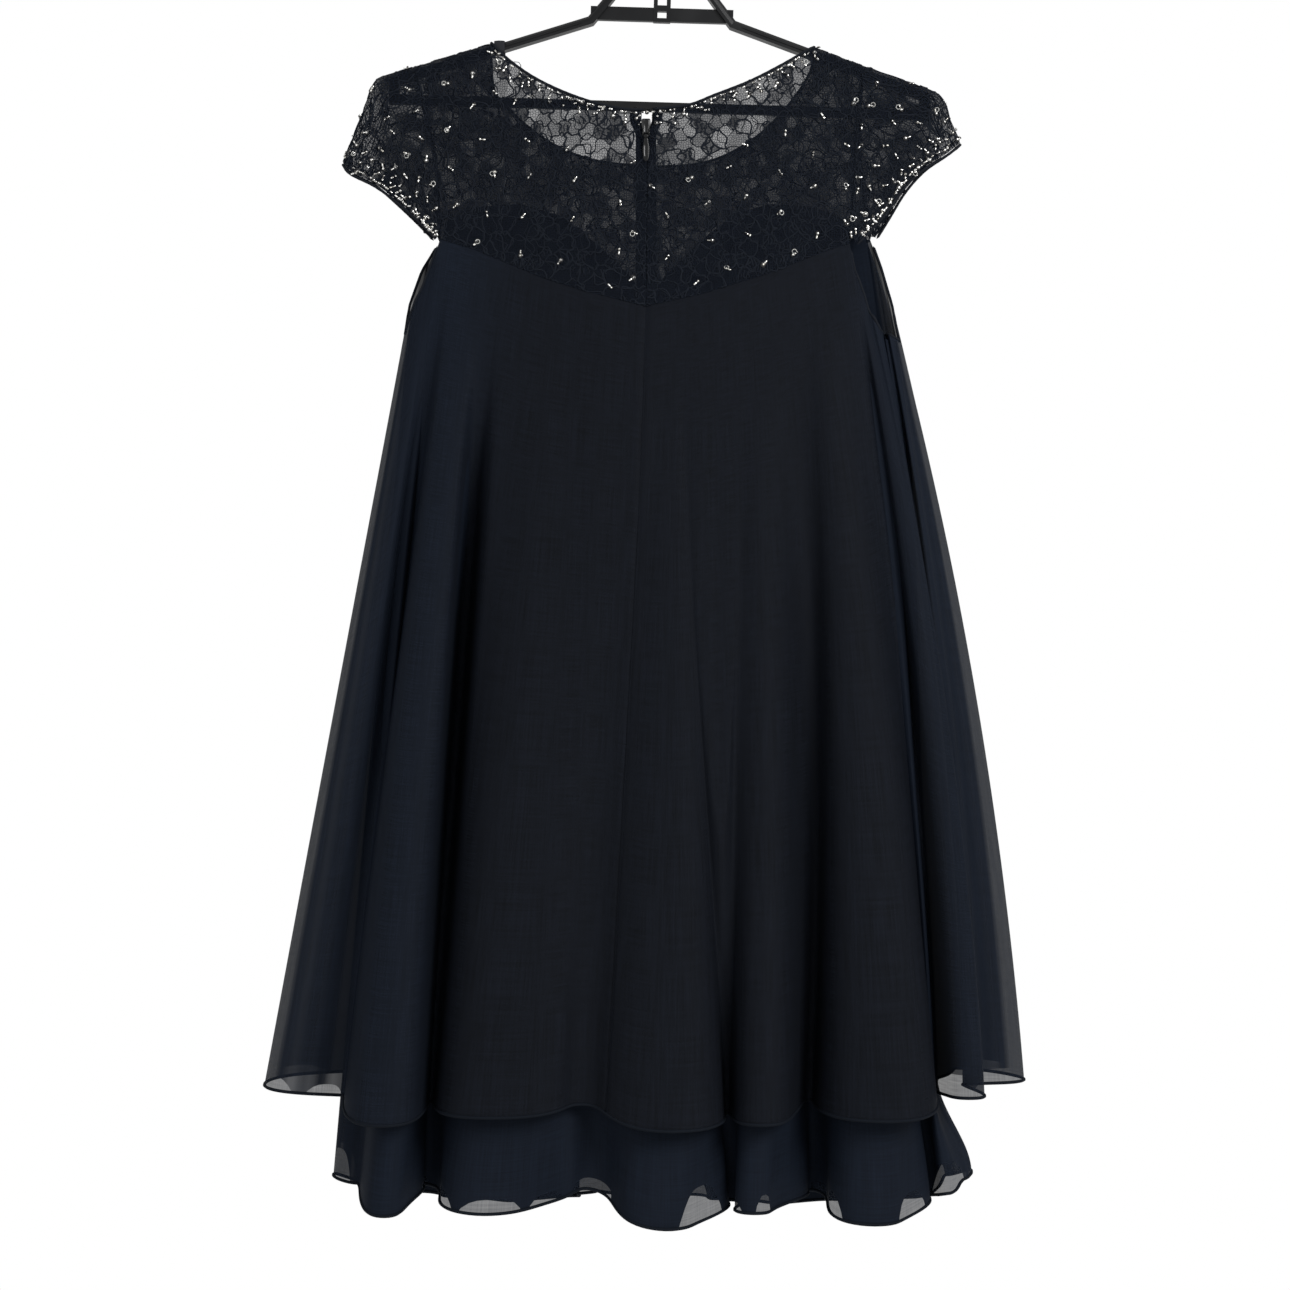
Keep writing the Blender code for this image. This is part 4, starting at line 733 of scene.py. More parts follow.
def skirtPanel(layer, start, end, seamEnds):
    # one panel between two seams; seamEnds says which of its ends dips into the zip seam
    height = 1 - np.linspace(1, 0, skirt["rows"]) ** 1.35
    first, last = start(height), end(height)
    count = int((last[-1] - first[-1]) * skirt["columnsPerFold"])
    share = np.linspace(0, 1, count)
    close = np.array([0.002, 0.005, 0.009, 0.015])  # extra columns beside a seam
    share = np.unique(np.concatenate([share, *[close if side == 0 else 1 - close for side in seamEnds]]))
    places = first[:, None] + (last - first)[:, None] * share
    heights = np.broadcast_to(height[:, None], places.shape)
    points = skirtFace(layer, places, heights)
    normal = skirtNormal(layer, places, heights)
    for side in seamEnds:
        seam = points[:, -side]
        away = np.linalg.norm(points - seam[:, None], axis=-1) / skirt["seamWidth"]
        points = points - (skirt["seamSink"] * np.exp(-(away**2)))[..., None] * normal
    return points, places, heights


def addSkirtPanel(node, layer, start, end, seamEnds, finish, slot, withBodice=False):
    # a panel, with its own turning or the bodice above its seam; what it takes is as for skirtPanel
    points, places, heights = skirtPanel(layer, start, end, seamEnds)
    if withBodice:
        above = bodiceRows(layer, places[0])
    else:
        # a narrow turning at the top goes up behind the seam
        above = points[:1] + (points[:1] - points[1:2]) * 0.25
        above[..., 1] *= 0.97
    places = np.vstack([np.repeat(places[:1], len(above), axis=0), places])
    rise = np.linalg.norm(above - points[:1], axis=-1) / layer["length"]
    heights = np.vstack([-rise, heights])
    points = np.concatenate([above, points])
    uv = joined(places * skirt["warpMm"], heights * layer["length"]).reshape(-1, 2)
    # the last value is the share of painted shade colour, bluer towards the sides
    values = dict(lined=backedShare(layer, places, heights), alone=aloneBy(layer, places, heights),
                  sideShade=sideShadeShare(places))
    return addGrid("cloth_" + node, points, finish, slot, [node], uv=uv, values=values)


def seamAt(layer, turns, distance):
    # the place at a distance from the zip's seam, at each height; turns is 1 once round
    return lambda height: besideSeam(layer, turns * foldCount + zipFold, height, distance)


def sideSeam(which):
    # a side seam follows its side fold at every height
    return lambda height: np.full_like(height, sideFolds[which])


slit = dict(tapeWidth=8.0, gap=-0.3, closesOver=25.0, closesFrom=-30.0)  # it closes from 30 mm below the zip


def slitHalf(height):
    # half of the under layer's gap: it is sewn to the outer edges of the zip's tapes and lapped below them
    z = skirtPoint(underLayer, zipFold, height)[..., 2]
    closing = smooth((z - zipEnd - slit["closesFrom"]) / slit["closesOver"])
    return slit["gap"] + (slit["tapeWidth"] + cut["layerGap"]) * closing


def slitEdge(turns, sign):
    # the place of one of the slit's edges, at each height
    middle = turns * foldCount + zipFold
    return lambda height: besideSeam(underLayer, middle, height, sign * slitHalf(height))


for kind, layer, finish, slot, left, right in (
    ("outer", outerLayer, chiffon, "chiffon", seamAt(outerLayer, 0, 0.05), seamAt(outerLayer, 1, -0.05)),
    ("under", underLayer, liningChiffon, "lining", slitEdge(0, 1), slitEdge(1, -1)),
):
    dips = kind == "outer"
    for node, start, end, seamEnds, withBodice in (
        (kind + "_back_left", left, sideSeam(0), [0] if dips else [], False),
        (kind + "_front", sideSeam(0), sideSeam(1), [], not dips),
        (kind + "_back_right", sideSeam(1), right, [1] if dips else [], False),
    ):
        addSkirtPanel(node, layer, start, end, seamEnds, finish, slot, withBodice)
    place = np.linspace(0, foldCount, foldCount * 24, endpoint=False)
    hem = np.ones_like(place)
    path, out = skirtFace(layer, place, hem), skirtNormal(layer, place, hem)
    roll = tube(path, skirt["hemRadius"], 6, out, closed=True)
    addPiece("rolled_edge_" + kind, *roll, rolledEdge, slot)
print("skirt made")


# yoke and sleeves: lace over fine net

binding = dict(radius=1.1, lift=0.3, endShare=0.05, sides=10, seamDepth=1.5)
yoke = dict(neckSteps=80, shoulderSteps=26, rows=84, foldShare=0.13, reachStep=5.2)
sleeve = dict(halfSteps=52, cells=48, foldShare=0.16, hemRadius=4.5, endLift=8.0,
              tipFrom=(206.0, 222.0), tipWidth=16.0)  # where the lace opens, and over what width it does
sleeveFolds = (
    ((-226.0, -184.6), (-234.5, -190.1), (-240.0, -205.0), (-251.2, -233.6), (-259.2, -254.4)),
    ((189.6, -188.6), (213.5, -197.3), (222.5, -207.0), (226.5, -219.0), (230.5, -228.0), (234.5, -238.4)),
)
backHems = (
    ((-252.1, -262.7), (-232.1, -273.1), (-213.5, -286.9), (-194.4, -304.0), (-183.5, -315.5)),
    ((222.7, -248.0), (204.0, -259.5), (187.0, -276.0), (172.0, -297.0), (150.0, -320.5)),
)
frontHems = (
    ((-252.1, -260.7), (-232.1, -271.1), (-214.5, -285.9), (-197.4, -302.0), (-186.5, -313.5)),
    ((222.7, -247.0), (206.0, -258.5), (191.0, -275.0), (178.0, -295.8), (167.5, -312.5)),
)
zipper = dict(partedTop=4.8, partedFrom=-235.8, partedTo=-221.3, sliderTop=-222.4, sliderBottom=-234.3,
              pinHeight=-236.6, pinY=-19.6, pullLength=20.0, tapeWidth=8.0)
seamGap = 0.4


def zipParting(z):
    # half of the gap between the two backs at the zip, which is open above its slider
    low, high = zipper["partedFrom"], zipper["partedTo"]
    return seamGap / 2 + zipper["partedTop"] * smooth((z - low) / (high - low))


def neckLine(neck, which, distance, steps):
    # a neckline from the centre to the shoulder, moved away from the neck, with closer steps on the shoulder
    neckX, sign = neckShoulderX[which], (-1, 1)[which]
    line = pathThrough([*neck, (neckX, float(shoulderLine(neckX)))], 1 - np.linspace(1, 0, steps) ** 1.8)
    along = unit(np.gradient(line, axis=0))
    moved = line + sign * distance * joined(along[:, 1], -along[:, 0])
    moved[-1] = neckX + sign * distance, float(shoulderLine(neckX + sign * distance))
    return moved


def foldSteps(count, foldShare):
    # progress along a strip that starts on a fold: the angle round the fold, then the share of the rest
    step = np.linspace(0, 1, count)
    return np.minimum(step / foldShare, 1) * math.pi / 2, np.clip((step - foldShare) / (1 - foldShare), 0, 1)


def armSeam(which, side):
    # where a sleeve joins the yoke, as a fine path from the shoulder down
    x = sleeveShoulderX[which]
    seams = backArmSeams if side < 0 else frontArmSeams
    return pathThrough([(x, float(shoulderLine(x))), *seams[which]], np.linspace(0, 1, 121))


def halfYoke(which, side):
    # outer face of half a yoke, rows down from the neck and shoulder, columns out from the zip
    sign = (-1, 1)[which]
    neck, edge = (backNeck[which], backTopEdge) if side < 0 else (frontNeck[which], frontTopEdge)
    line = neckLine(neck, which, binding["radius"], yoke["neckSteps"])
    shoulder = np.linspace(line[-1, 0], sleeveShoulderX[which], yoke["shoulderSteps"])
    top = np.vstack([line, joined(shoulder, shoulderLine(shoulder))[1:]])
    seam = armSeam(which, side)
    grow = yoke["reachStep"] * np.linspace(0, 1, yoke["neckSteps"])
    reach = np.maximum.accumulate(np.abs(line[:, 0] - line[0, 0])) + grow
    reach = np.append(reach, np.linspace(reach[-1], abs(seam[-1, 0] - centreX), yoke["shoulderSteps"])[1:])
    bottomX = centreX + sign * reach
    edgeX, edgeZ = np.array(edge).T
    bottom = joined(bottomX, np.interp(bottomX, edgeX, edgeZ) + cut["yokeLift"])
    angle, rest = foldSteps(yoke["rows"], yoke["foldShare"])
    length = top[:, 1] - bottom[:, 1]
    radius = cut["foldRadius"]
    down = radius * (1 - np.cos(angle))[:, None] + (length - radius)[None] * rest[:, None]
    part = (down / length)[..., None]
    flat = top[None] * (1 - part) + bottom[None] * part
    seamX = np.interp(-flat[:, -1, 1], -seam[:, 1], seam[:, 0])
    share = np.linspace(0, 1, len(top))
    flat[..., 0] += (seamX - flat[:, -1, 0])[:, None] * share[None] ** 6
    x, z = flat[..., 0], flat[..., 1]
    points = joined(x, side * np.maximum(bodyDepth(x, z), 0.2), z)
    if side < 0:
        points[:, 0, 0] += sign * zipParting(points[:, 0, 2])
        near = np.exp(-np.abs(points[..., 0] - points[:, :1, 0]) / 6.0)  # the next columns part with it
        points[:, 1:, 0] += sign * zipParting(points[:, :1, 2]) * near[:, 1:] ** 2
    return points


def frontYoke():
    # both halves of the front yoke as one grid, columns from its left end to its right
    left, right = halfYoke(0, 1), halfYoke(1, 1)
    return np.concatenate([left[:, :0:-1], right], axis=1)


def laidFlat(points):
    # cloth coordinates of points of the upper body: across, and down the cloth round the shoulder's fold
    radius = cut["foldRadius"]
    top = shoulderLine(points[..., 0])
    below = np.maximum(top - points[..., 2], 0)
    bent = radius * np.arccos(np.clip(1 - below / radius, -1, 1))
    down = np.where(below < radius, bent, radius * math.pi / 2 + below - radius)
    return joined(points[..., 0], down - top)


def ontoBody(flat, side):
    # the reverse of laidFlat: points on the upper body and their outward directions
    radius = cut["foldRadius"]
    x = flat[..., 0]
    top = shoulderLine(x)
    down = np.maximum(flat[..., 1] + top, 0)
    quarter = radius * math.pi / 2
    rounded = radius * (1 - np.cos(np.minimum(down, quarter) / radius))
    z = top - np.where(down < quarter, rounded, down - quarter + radius)
    points = joined(x, side * np.maximum(bodyDepth(x, z), 0.2), z)
    return points, bodyNormal(x, z, side)


def sleeveFace(which, side, step, across):
    # half a sleeve: a blend of its seam, hem, fold and underarm end (a Coons patch); step runs from the
    # fold to the underarm, across from the seam to the hem
    seam = armSeam(which, side)
    hem = (backHems if side < 0 else frontHems)[which]
    fold = (tuple(seam[0]), *sleeveFolds[which])
    below = seam[0, 1] - seam[:, 1]
    lowest = below[-1] - sleeve["endLift"]
    end = np.array([np.interp(lowest, below, seam[:, i]) for i in (0, 1)])
    angle = np.minimum(step / sleeve["foldShare"], 1) * math.pi / 2
    rest = np.clip((step - sleeve["foldShare"]) / (1 - sleeve["foldShare"]), 0, 1)
    radius = cut["foldRadius"] + (sleeve["hemRadius"] - cut["foldRadius"]) * smooth((across - 0.45) / 0.55)
    foldPoint = pathThrough(fold, across)
    endPoint = end + across[..., None] * (np.array(hem[-1]) - end)
    length = np.linalg.norm(endPoint - foldPoint, axis=-1)
    share = (radius * (1 - np.cos(angle)) + (length - radius) * rest) / length
    seamDown = cut["foldRadius"] * (1 - np.cos(angle)) + (below[-1] - cut["foldRadius"]) * rest
    seamDown = np.minimum(seamDown, lowest)
    seamPoint = np.stack([np.interp(seamDown, below, seam[:, i]) for i in (0, 1)], axis=-1)
    hemPoint = pathThrough((fold[-1], *hem), share)
    t, s = across[..., None], share[..., None]
    corners = (1 - t) * ((1 - s) * np.array(fold[0]) + s * end)
    corners = corners + t * ((1 - s) * np.array(fold[-1]) + s * np.array(hem[-1]))
    flat = (1 - t) * seamPoint + t * hemPoint + (1 - s) * foldPoint + s * endPoint - corners
    onBody = bodyDepth(seamPoint[..., 0], seamPoint[..., 1])
    ownDepth = radius * np.sin(angle) + (bodyDepth(end[0], end[1]) - radius) * rest
    depth = onBody + (ownDepth - onBody) * smooth(across / 0.5)
    return joined(flat[..., 0], side * depth, flat[..., 1])


def sleeveGrid(which):
    # a sleeve from the back underarm over its fold to the front: rows from seam to hem
    half = sleeve["halfSteps"]
    steps, shares = np.meshgrid(np.linspace(0, 1, half + 1), np.linspace(0, 1, sleeve["cells"] + 1))
    back, front = (sleeveFace(which, side, steps, shares) for side in (-1, 1))
    outer = np.concatenate([back[:, :0:-1], front], axis=1)
    outer[:, half, 1] = 0
    normal = gridNormal(outer)
    if normal[:, :half, 1].mean() > 0:
        outer, normal = outer[:, ::-1], -normal[:, ::-1]
    return outer, normal


lace = dict(
    flowerGap=31.0, petalRing=8.8, cellGap=10.4, jitter=2.4,  # of the cells, each about a fingertip wide
    rowShare=0.87,  # gap between two rows of flowers, as a share of the gap in a row
    stretch=(0.78, 1.34),  # of the whole design, which is taller than wide
    cordRadius=(0.32, 0.82), cordSides=4, lift=0.2, bow=0.17, petalShare=0.34,
    doubled=0.6, strandGap=(0.7, 2.2),  # borders with two strands, and the gap between these at its widest
    bars=3, barGap=2.5, barLength=(3.0, 7.0),  # short bars worked across a petal
)


def staggered(low, columns, rows, gap, rise):
    # places in numbered columns and rows from a low corner, every other row moved by half a gap; rise is
    # the share of a gap from row to row
    i, j = np.meshgrid(columns, rows)
    return joined(low[0] + (i + 0.5 * (j % 2)) * gap, low[1] + j * gap * rise).reshape(-1, 2)


def laceCells(low, high, seed):
    # cell centres in a flat box: staggered flowers of a heart and six petals, and loose cells between them,
    # each with how closely it is worked
    rng = np.random.default_rng(seed)
    low, high = low / lace["stretch"], high / lace["stretch"]
    wide, tall = (high - low) / lace["flowerGap"]
    columns, rows = np.arange(-1, wide + 1), np.arange(-1, tall + 2)
    hearts = staggered(low, columns, rows, lace["flowerGap"], lace["rowShare"])
    hearts += rng.normal(0, lace["jitter"], hearts.shape)
    turn = rng.uniform(0, 6.28, (len(hearts), 1)) + np.arange(6) * math.pi / 3
    ring = lace["petalRing"] * rng.uniform(0.88, 1.12, turn.shape)
    petals = hearts[:, None] + joined(ring * np.cos(turn), ring * np.sin(turn))
    wide, tall = (high - low) / lace["cellGap"]
    loose = staggered(low, np.arange(-2, wide + 2), np.arange(-2, tall + 2), lace["cellGap"], 1)
    loose += rng.normal(0, lace["jitter"], loose.shape)
    clear = lace["petalRing"] + 0.55 * lace["cellGap"]
    far = np.linalg.norm(loose[:, None] - hearts[None], axis=-1).min(1) > clear
    seeds = np.concatenate([hearts, petals.reshape(-1, 2), loose[far]]) * lace["stretch"]
    worked = rng.random(len(seeds)) < lace["petalShare"]
    worked[:len(hearts)] = True
    return seeds, worked * rng.uniform(0.5, 1.0, len(seeds)) + ~worked * rng.uniform(-0.5, 0.4, len(seeds))


def cellEdges(seeds):
    # the borders between cells: each joins the circumcentres of two neighbouring Delaunay triangles
    spots, _, triangles, *_ = delaunay_2d_cdt([Vector(p) for p in seeds.tolist()], [], [], 0, 1e-4)
    spots, triangles = np.array([tuple(p) for p in spots]), np.array(triangles)
    a, b, c = (spots[triangles[:, k]] for k in range(3))
    bb, cc = ((b - a) ** 2).sum(1), ((c - a) ** 2).sum(1)
    twice = 2 * ((b - a)[:, 0] * (c - a)[:, 1] - (b - a)[:, 1] * (c - a)[:, 0])
    toB, toC = b - a, c - a
    centre = a + joined(toC[:, 1] * bb - toB[:, 1] * cc, toB[:, 0] * cc - toC[:, 0] * bb) / twice[:, None]
    edges = np.sort(np.concatenate([triangles[:, pair] for pair in ([0, 1], [1, 2], [2, 0])]), axis=1)
    owner = np.tile(np.arange(len(triangles)), 3)
    order = np.lexsort((edges[:, 1], edges[:, 0]))
    same = (edges[order][1:] == edges[order][:-1]).all(1)
    return centre[owner[order][:-1][same]], centre[owner[order][1:][same]]


def insideOf(rim, points):
    # which points lie inside a closed outline, by the number of its sides to their right
    x, y = points[..., 0, None], points[..., 1, None]
    a, b = rim, np.roll(rim, -1, axis=0)
    crosses = (a[:, 1] > y) != (b[:, 1] > y)
    slope = np.where(b[:, 1] == a[:, 1], 1e-9, b[:, 1] - a[:, 1])
    return (crosses & (x < a[:, 0] + (y - a[:, 1]) * (b[:, 0] - a[:, 0]) / slope)).sum(-1) % 2 == 1


def laceCords(seeds, worked, rim, toSurface, seed):
    # raised gimp along the cell borders and across the petals: each strand bowed sideways by sines, cut at
    # the piece's outline, laid on the cloth by toSurface and swept as a flat oval
    rng = np.random.default_rng(seed)
    start, end = cellEdges(seeds)
    doubled = rng.random(len(start)) < lace["doubled"]
    apart = np.where(doubled, rng.uniform(*lace["strandGap"], len(start)) / 2, 0)
    start, end = np.concatenate([start, start[doubled]]), np.concatenate([end, end[doubled]])
    apart = np.concatenate([apart, -apart[doubled]])
    petals = seeds[worked > 0.45]
    tilt = rng.normal(math.pi / 2, 0.35, len(petals))
    bar = joined(np.cos(tilt), np.sin(tilt))
    across = joined(bar[:, 1], -bar[:, 0])
    for k in range(lace["bars"]):
        away = (k - (lace["bars"] - 1) / 2) * lace["barGap"]
        middle = petals + away * across + rng.normal(0, 0.5, petals.shape)
        half = bar * rng.uniform(*lace["barLength"], (len(petals), 1)) / 2
        start, end = np.concatenate([start, middle - half]), np.concatenate([end, middle + half])
    apart = np.append(apart, np.zeros(len(start) - len(apart)))
    run = end - start
    length = np.linalg.norm(run, axis=1)
    keep = (length > 1.2) & (length < 30)
    start, run, length, apart = start[keep], run[keep], length[keep], apart[keep]
    sideways = joined(-run[:, 1], run[:, 0]) / length[:, None]
    bow, wave = rng.normal(0, lace["bow"], (2, len(run), 1)) * length[:, None]

    def curve(t):
        bend = bow * np.sin(math.pi * t) + 0.6 * wave * np.sin(2 * math.pi * t)
        bend = bend + apart[:, None] * np.sin(math.pi * np.clip(t, 0, 1)) ** 0.7
        return start[:, None] + run[:, None] * t[..., None] + sideways[:, None] * bend[..., None]

    fine = np.broadcast_to(np.linspace(-0.03, 1.03, 25), (len(run), 25))
    shown = insideOf(rim, curve(fine))
    some = shown.sum(1) > 3
    first = np.where(some, fine[0][shown.argmax(1)], 0)
    last = np.where(some, fine[0][24 - shown[:, ::-1].argmax(1)], 1)
    steps = np.array([0, 0.02, 0.26, 0.5, 0.74, 0.98, 1])
    shape = np.array([0.05, 1, 0.9, 0.8, 0.9, 1, 0.05])
    flat = curve(first[:, None] + (last - first)[:, None] * steps)[some]
    points, normal = toSurface(flat)
    size = rng.uniform(*lace["cordRadius"], (len(flat), 1)) * shape
    return tubes(points + lace["lift"] * normal, size, lace["cordSides"], normal, 0.7)


def nearestWorked(flat, seeds, worked):
    # how closely each point's own cell is worked
    flat = flat.reshape(-1, 2)
    nearest = np.concatenate([
        np.argmin(((part[:, None] - seeds[None]) ** 2).sum(-1), axis=1) for part in np.array_split(flat, 40)
    ])
    return worked[nearest]


def rimOf(grid):
    # a grid's outline, once round
    return np.concatenate([grid[0, :-1], grid[:-1, -1], grid[-1, :0:-1], grid[:0:-1, 0]])


def addLace(name, grid, flat, toSurface, seed, closer=0.0):
    # a lace piece: its net from the grid, worked closer by a share, and its gimp cords
    rim = rimOf(flat)
    seeds, worked = laceCells(rim.min(0), rim.max(0), seed)
    petal = closer + (1 - np.abs(closer)) * nearestWorked(flat, seeds, worked)
    net = addGrid("net_" + name, grid, laceNet, "lace", [name], uv=flat.reshape(-1, 2),
                  values=dict(petal=petal))
    cords = addPiece("cords_" + name, *laceCords(seeds, worked, rim, toSurface, seed + 1), laceCord, "lace")
    return net, cords


for which, hand in enumerate(("left", "right")):
    grid = halfYoke(which, -1)
    if which == 0:
        grid = grid[:, ::-1]  # columns run to the right, seen from the back
    name = "yoke_back_" + hand
    addLace(name, grid, laidFlat(grid), lambda flat: ontoBody(flat, -1), 11 + which)
grid = frontYoke()[:, ::-1]
addLace("yoke_front", grid, laidFlat(grid), lambda flat: ontoBody(flat, 1), 21,
                              closer=0.35)

sleeveSheets = []
for which, hand in enumerate(("left", "right")):
    grid, normal = sleeveGrid(which)
    middle = grid.shape[0] // 2
    around = runAlong(grid[middle])
    outward = np.concatenate([[0], np.cumsum(np.linalg.norm(np.diff(grid, axis=0), axis=2).mean(1))])
    flat = joined(*np.meshgrid(around, outward))

    def toSleeve(spots, grid=grid, normal=normal, around=around, outward=outward):
        u = np.interp(spots[..., 0], around, np.linspace(0, 1, len(around)))
        v = np.interp(spots[..., 1], outward, np.linspace(0, 1, len(outward)))
        return onGrid(grid, u, v), unit(onGrid(normal, u, v))

    # the lace is more open towards the sleeve's tip
    tip = smooth((np.abs(grid[..., 0] - centreX) - sleeve["tipFrom"][which]) / sleeve["tipWidth"]).ravel()
    name = "sleeve_" + hand
    addLace(name, grid, flat, toSleeve, 31 + which, closer=-0.9 * tip)
    sleeveSheets.append((grid, normal, around, outward, toSleeve))
print("lace made")


# bindings


def neckBindingPath():
    # middle of the neck binding from the zip by the left shoulder, the front and the right shoulder
    lines = []
    for neck, which, side in neckParts:
        line = neckLine(neck, which, binding["radius"], 70)
        face = joined(line[:, 0], side * bodyDepth(line[:, 0], line[:, 1]), line[:, 1])
        normal = bodyNormal(line[:, 0], line[:, 1], side)
        lines.append((face + binding["lift"] * normal, normal))
    parting = zipParting(zipTop)
    lines[0][0][0, 0] -= parting
    lines[3][0][0, 0] += parting
    return tuple(np.vstack([first, second[-2::-1], third[1:], last[-2::-1]])
                 for first, second, third, last in zip(*lines))


def armholeBindingPath(low, high):
    # middle of the binding along an armhole below the sleeve, just above the skirt's edge
    place = np.linspace(low, high, 12 * (high - low) + 1)
    place[[0, -1]] += binding["endShare"] * np.array([1, -1])
    edge = skirtPoint(outerLayer, place, 0.0)
    normal = skirtNormal(outerLayer, place, np.zeros_like(place))
    along = unit(np.gradient(edge, axis=0))
    up = edge - skirtPoint(outerLayer, place, 0.01)
    up = unit(up - np.sum(up * along, axis=-1, keepdims=True) * along)
    return edge - cut["wall"] / 2 * normal + (binding["radius"] + cut["layerGap"]) * up, normal


def crimped(path, pitch, depth):
    # a radius that swells and narrows along a path, as bias cloth does between stitches
    return binding["radius"] * (1 + depth * np.sin(2 * math.pi * runAlong(path) / pitch))


def addBinding(place, hand, path, up, pitch=6.0, depth=0.05):
    # a tube of bias cloth along an edge, crimped at every stitch
    name = place + hand
    shape = tube(path, crimped(path, pitch, depth), binding["sides"], up)
    addPiece("bound_" + name, *shape, boundEdge, "binding", [place + "_binding" + hand])


addBinding("neck", "", *neckBindingPath(), pitch=7.0, depth=0.06)
addBinding("armhole", "_left", *armholeBindingPath(backCornerFolds[0], frontCornerFolds[0]))
addBinding("armhole", "_right", *armholeBindingPath(frontCornerFolds[1], backCornerFolds[1]))
for (grid, normal, *_), hand in zip(sleeveSheets, ("_left", "_right")):
    out = unit(grid[-1] - grid[-2])
    path = grid[-1] - cut["wall"] / 2 * normal[-1] + out * (binding["radius"] + cut["layerGap"])
    addBinding("sleeve", hand, path, normal[-1])
# the turnings where each sleeve joins the yoke, pressed together inside the lace: a flattened tube down
# each arm seam from the shoulder
for which, hand in ((0, "left"), (1, "right")):
    halves = []
    for side, seam in ((-1, backArmSeams[which]), (1, frontArmSeams[which])):
        top = (sleeveShoulderX[which], float(shoulderLine(sleeveShoulderX[which])) - 1.5)
        x, z = pathThrough((top, *seam), np.linspace(0.02, 0.985, 40)).T
        normal = bodyNormal(x, z, side)
        face = joined(x, side * bodyDepth(x, z), z) - binding["seamDepth"] * normal
        halves.append(tube(face, crimped(face, 9.0, 0.12) * 1.35, 8, normal, flatten=0.3))
    addPiece("sleeve_seam_" + hand, *merged(halves), boundEdge, "binding")
print("bindings made")


# beads and sequins

beads = dict(
    seedRadius=1.0, seedLength=1.5, bugleRadius=0.75, bugleLength=2.9, cupRadius=2.0, ringRadius=1.75,
    ringThick=0.34, gap=27.0, sleeveGap=18.0, neckGap=8.6, sleeveHemGap=6.4,
    above=0.75, bugleAhead=1.3, seedBehind=1.6,  # a group's height above the lace, and its beads' places
)
# places of the bead groups on the back yoke, as (x, z) rows
backBeads = np.array((
    (-176, -193), (-155, -186), (-137, -200), (-121, -208), (-155, -211), (-174, -229), (-147, -238), (-111, -239),
    (-79, -246), (-172, -261), (-137, -266), (-109, -268), (-73, -271), (-27, -257), (-12, -277), (18, -270),
    (49, -261), (62, -243), (94, -233), (124, -219), (149, -207), (143, -242), (116, -250), (90, -265), (116, -276),
    (143, -276), (62, -285), (32, -290), (-37, -290), (0, -300), (89, -297), (142, -304), (119, -315), (34, -320),
    (64, -315), (-26, -314), (-114, -300), (-143, -298), (-168, -291), (-75, -303), (-152, -321), (-116, -330),
    (-85, -337), (-38, -329), (0, -334), (48, -343), (-28, -351), (-45, -357), (23, -354), (77, -338), (101, -330),
), float)


def turned(rows, sides):
    # a small shape turned about x: rows of (x, radius)
    x, radius = np.array(rows).T
    turn = fullTurn(sides)
    around = (np.outer(radius, wave).ravel() for wave in (np.cos(turn), np.sin(turn)))
    points = joined(np.repeat(x, sides), *around)
    return points, gridFaces(len(rows), sides, closed=True)[:, ::-1]


def barrel(length, radius):
    # a cut bead along x, closed at its thread holes
    half = length / 2
    rows = ((-half, 0.03), (-half, 0.55 * radius), (-0.7 * half, radius), (0.7 * half, radius),
            (half, 0.55 * radius), (half, 0.03))
    return turned(rows, 6)


def cup(radius):
    # a cupped sequin whose hollow faces along x: a rim, its hole, and the rim's own back
    rows = ((0.1, 0.35), (0.5, radius), (0.38, radius), (-0.06, 0.35), (0.1, 0.35))
    return turned(rows, 9)


def ringShape(radius, thick):
    # a flat ring along x: a small square section carried round a larger circle
    rows = ((0, radius - thick), (0.6 * thick, radius), (0, radius + thick), (-0.6 * thick, radius),
            (0, radius - thick))
    return turned(rows, 12)


def beadGroups(points, normal, seed, bugles=1.0, seeds=1.0, cups=0.6, along=None):
    # at each place a silver bugle bead and a silver seed bead that sits in a dark cupped sequin, lying on
    # the cloth, turned at random or along a direction; returns the silver shapes and the dark ones
    rng = np.random.default_rng(seed)
    level = unit(np.cross(normal, np.array([0.0, 0.0, 1.0])) + 1e-6)
    rise = np.cross(level, normal)
    if along is None:
        turn = rng.uniform(0, 2 * math.pi, len(points))
        along = level * np.cos(turn)[:, None] + rise * np.sin(turn)[:, None]
    size = rng.uniform(0.85, 1.15, len(points))
    lift = (beads["above"] + lace["lift"]) * normal

    def strung(shape, places, tips, ups, has):
        # copies of a shape at the places that have one
        return copies(*shape, places[has], tips[has], ups[has], size[has])

    has = rng.random(len(points)) < bugles
    bugle = barrel(beads["bugleLength"], beads["bugleRadius"])
    silver = [strung(bugle, points + lift + beads["bugleAhead"] * along, along, normal, has)]
    has = rng.random(len(points)) < seeds
    tip = unit(normal + 0.35 * rng.normal(size=normal.shape))
    spot = points - beads["seedBehind"] * along
    seedBead = barrel(beads["seedLength"], beads["seedRadius"])
    silver.append(strung(seedBead, spot + 1.2 * lift, tip, along, has))
    has &= rng.random(len(points)) < cups
    return silver, [strung(cup(beads["cupRadius"]), spot + 0.4 * lift, tip, along, has)]


def scattered(rim, gap, seed):
    # places for bead groups in a flat outline: a staggered grid, moved a little at random
    rng = np.random.default_rng(seed)
    low, high = rim.min(0), rim.max(0)
    wide, tall = (high - low) / gap
    spots = staggered(low + (0, 6), np.arange(0, wide + 1), np.arange(0, tall * 1.15 + 1), gap, 1 / 1.15)
    spots += rng.normal(0, 0.12 * gap, spots.shape)
    return spots[insideOf(rim, spots)]


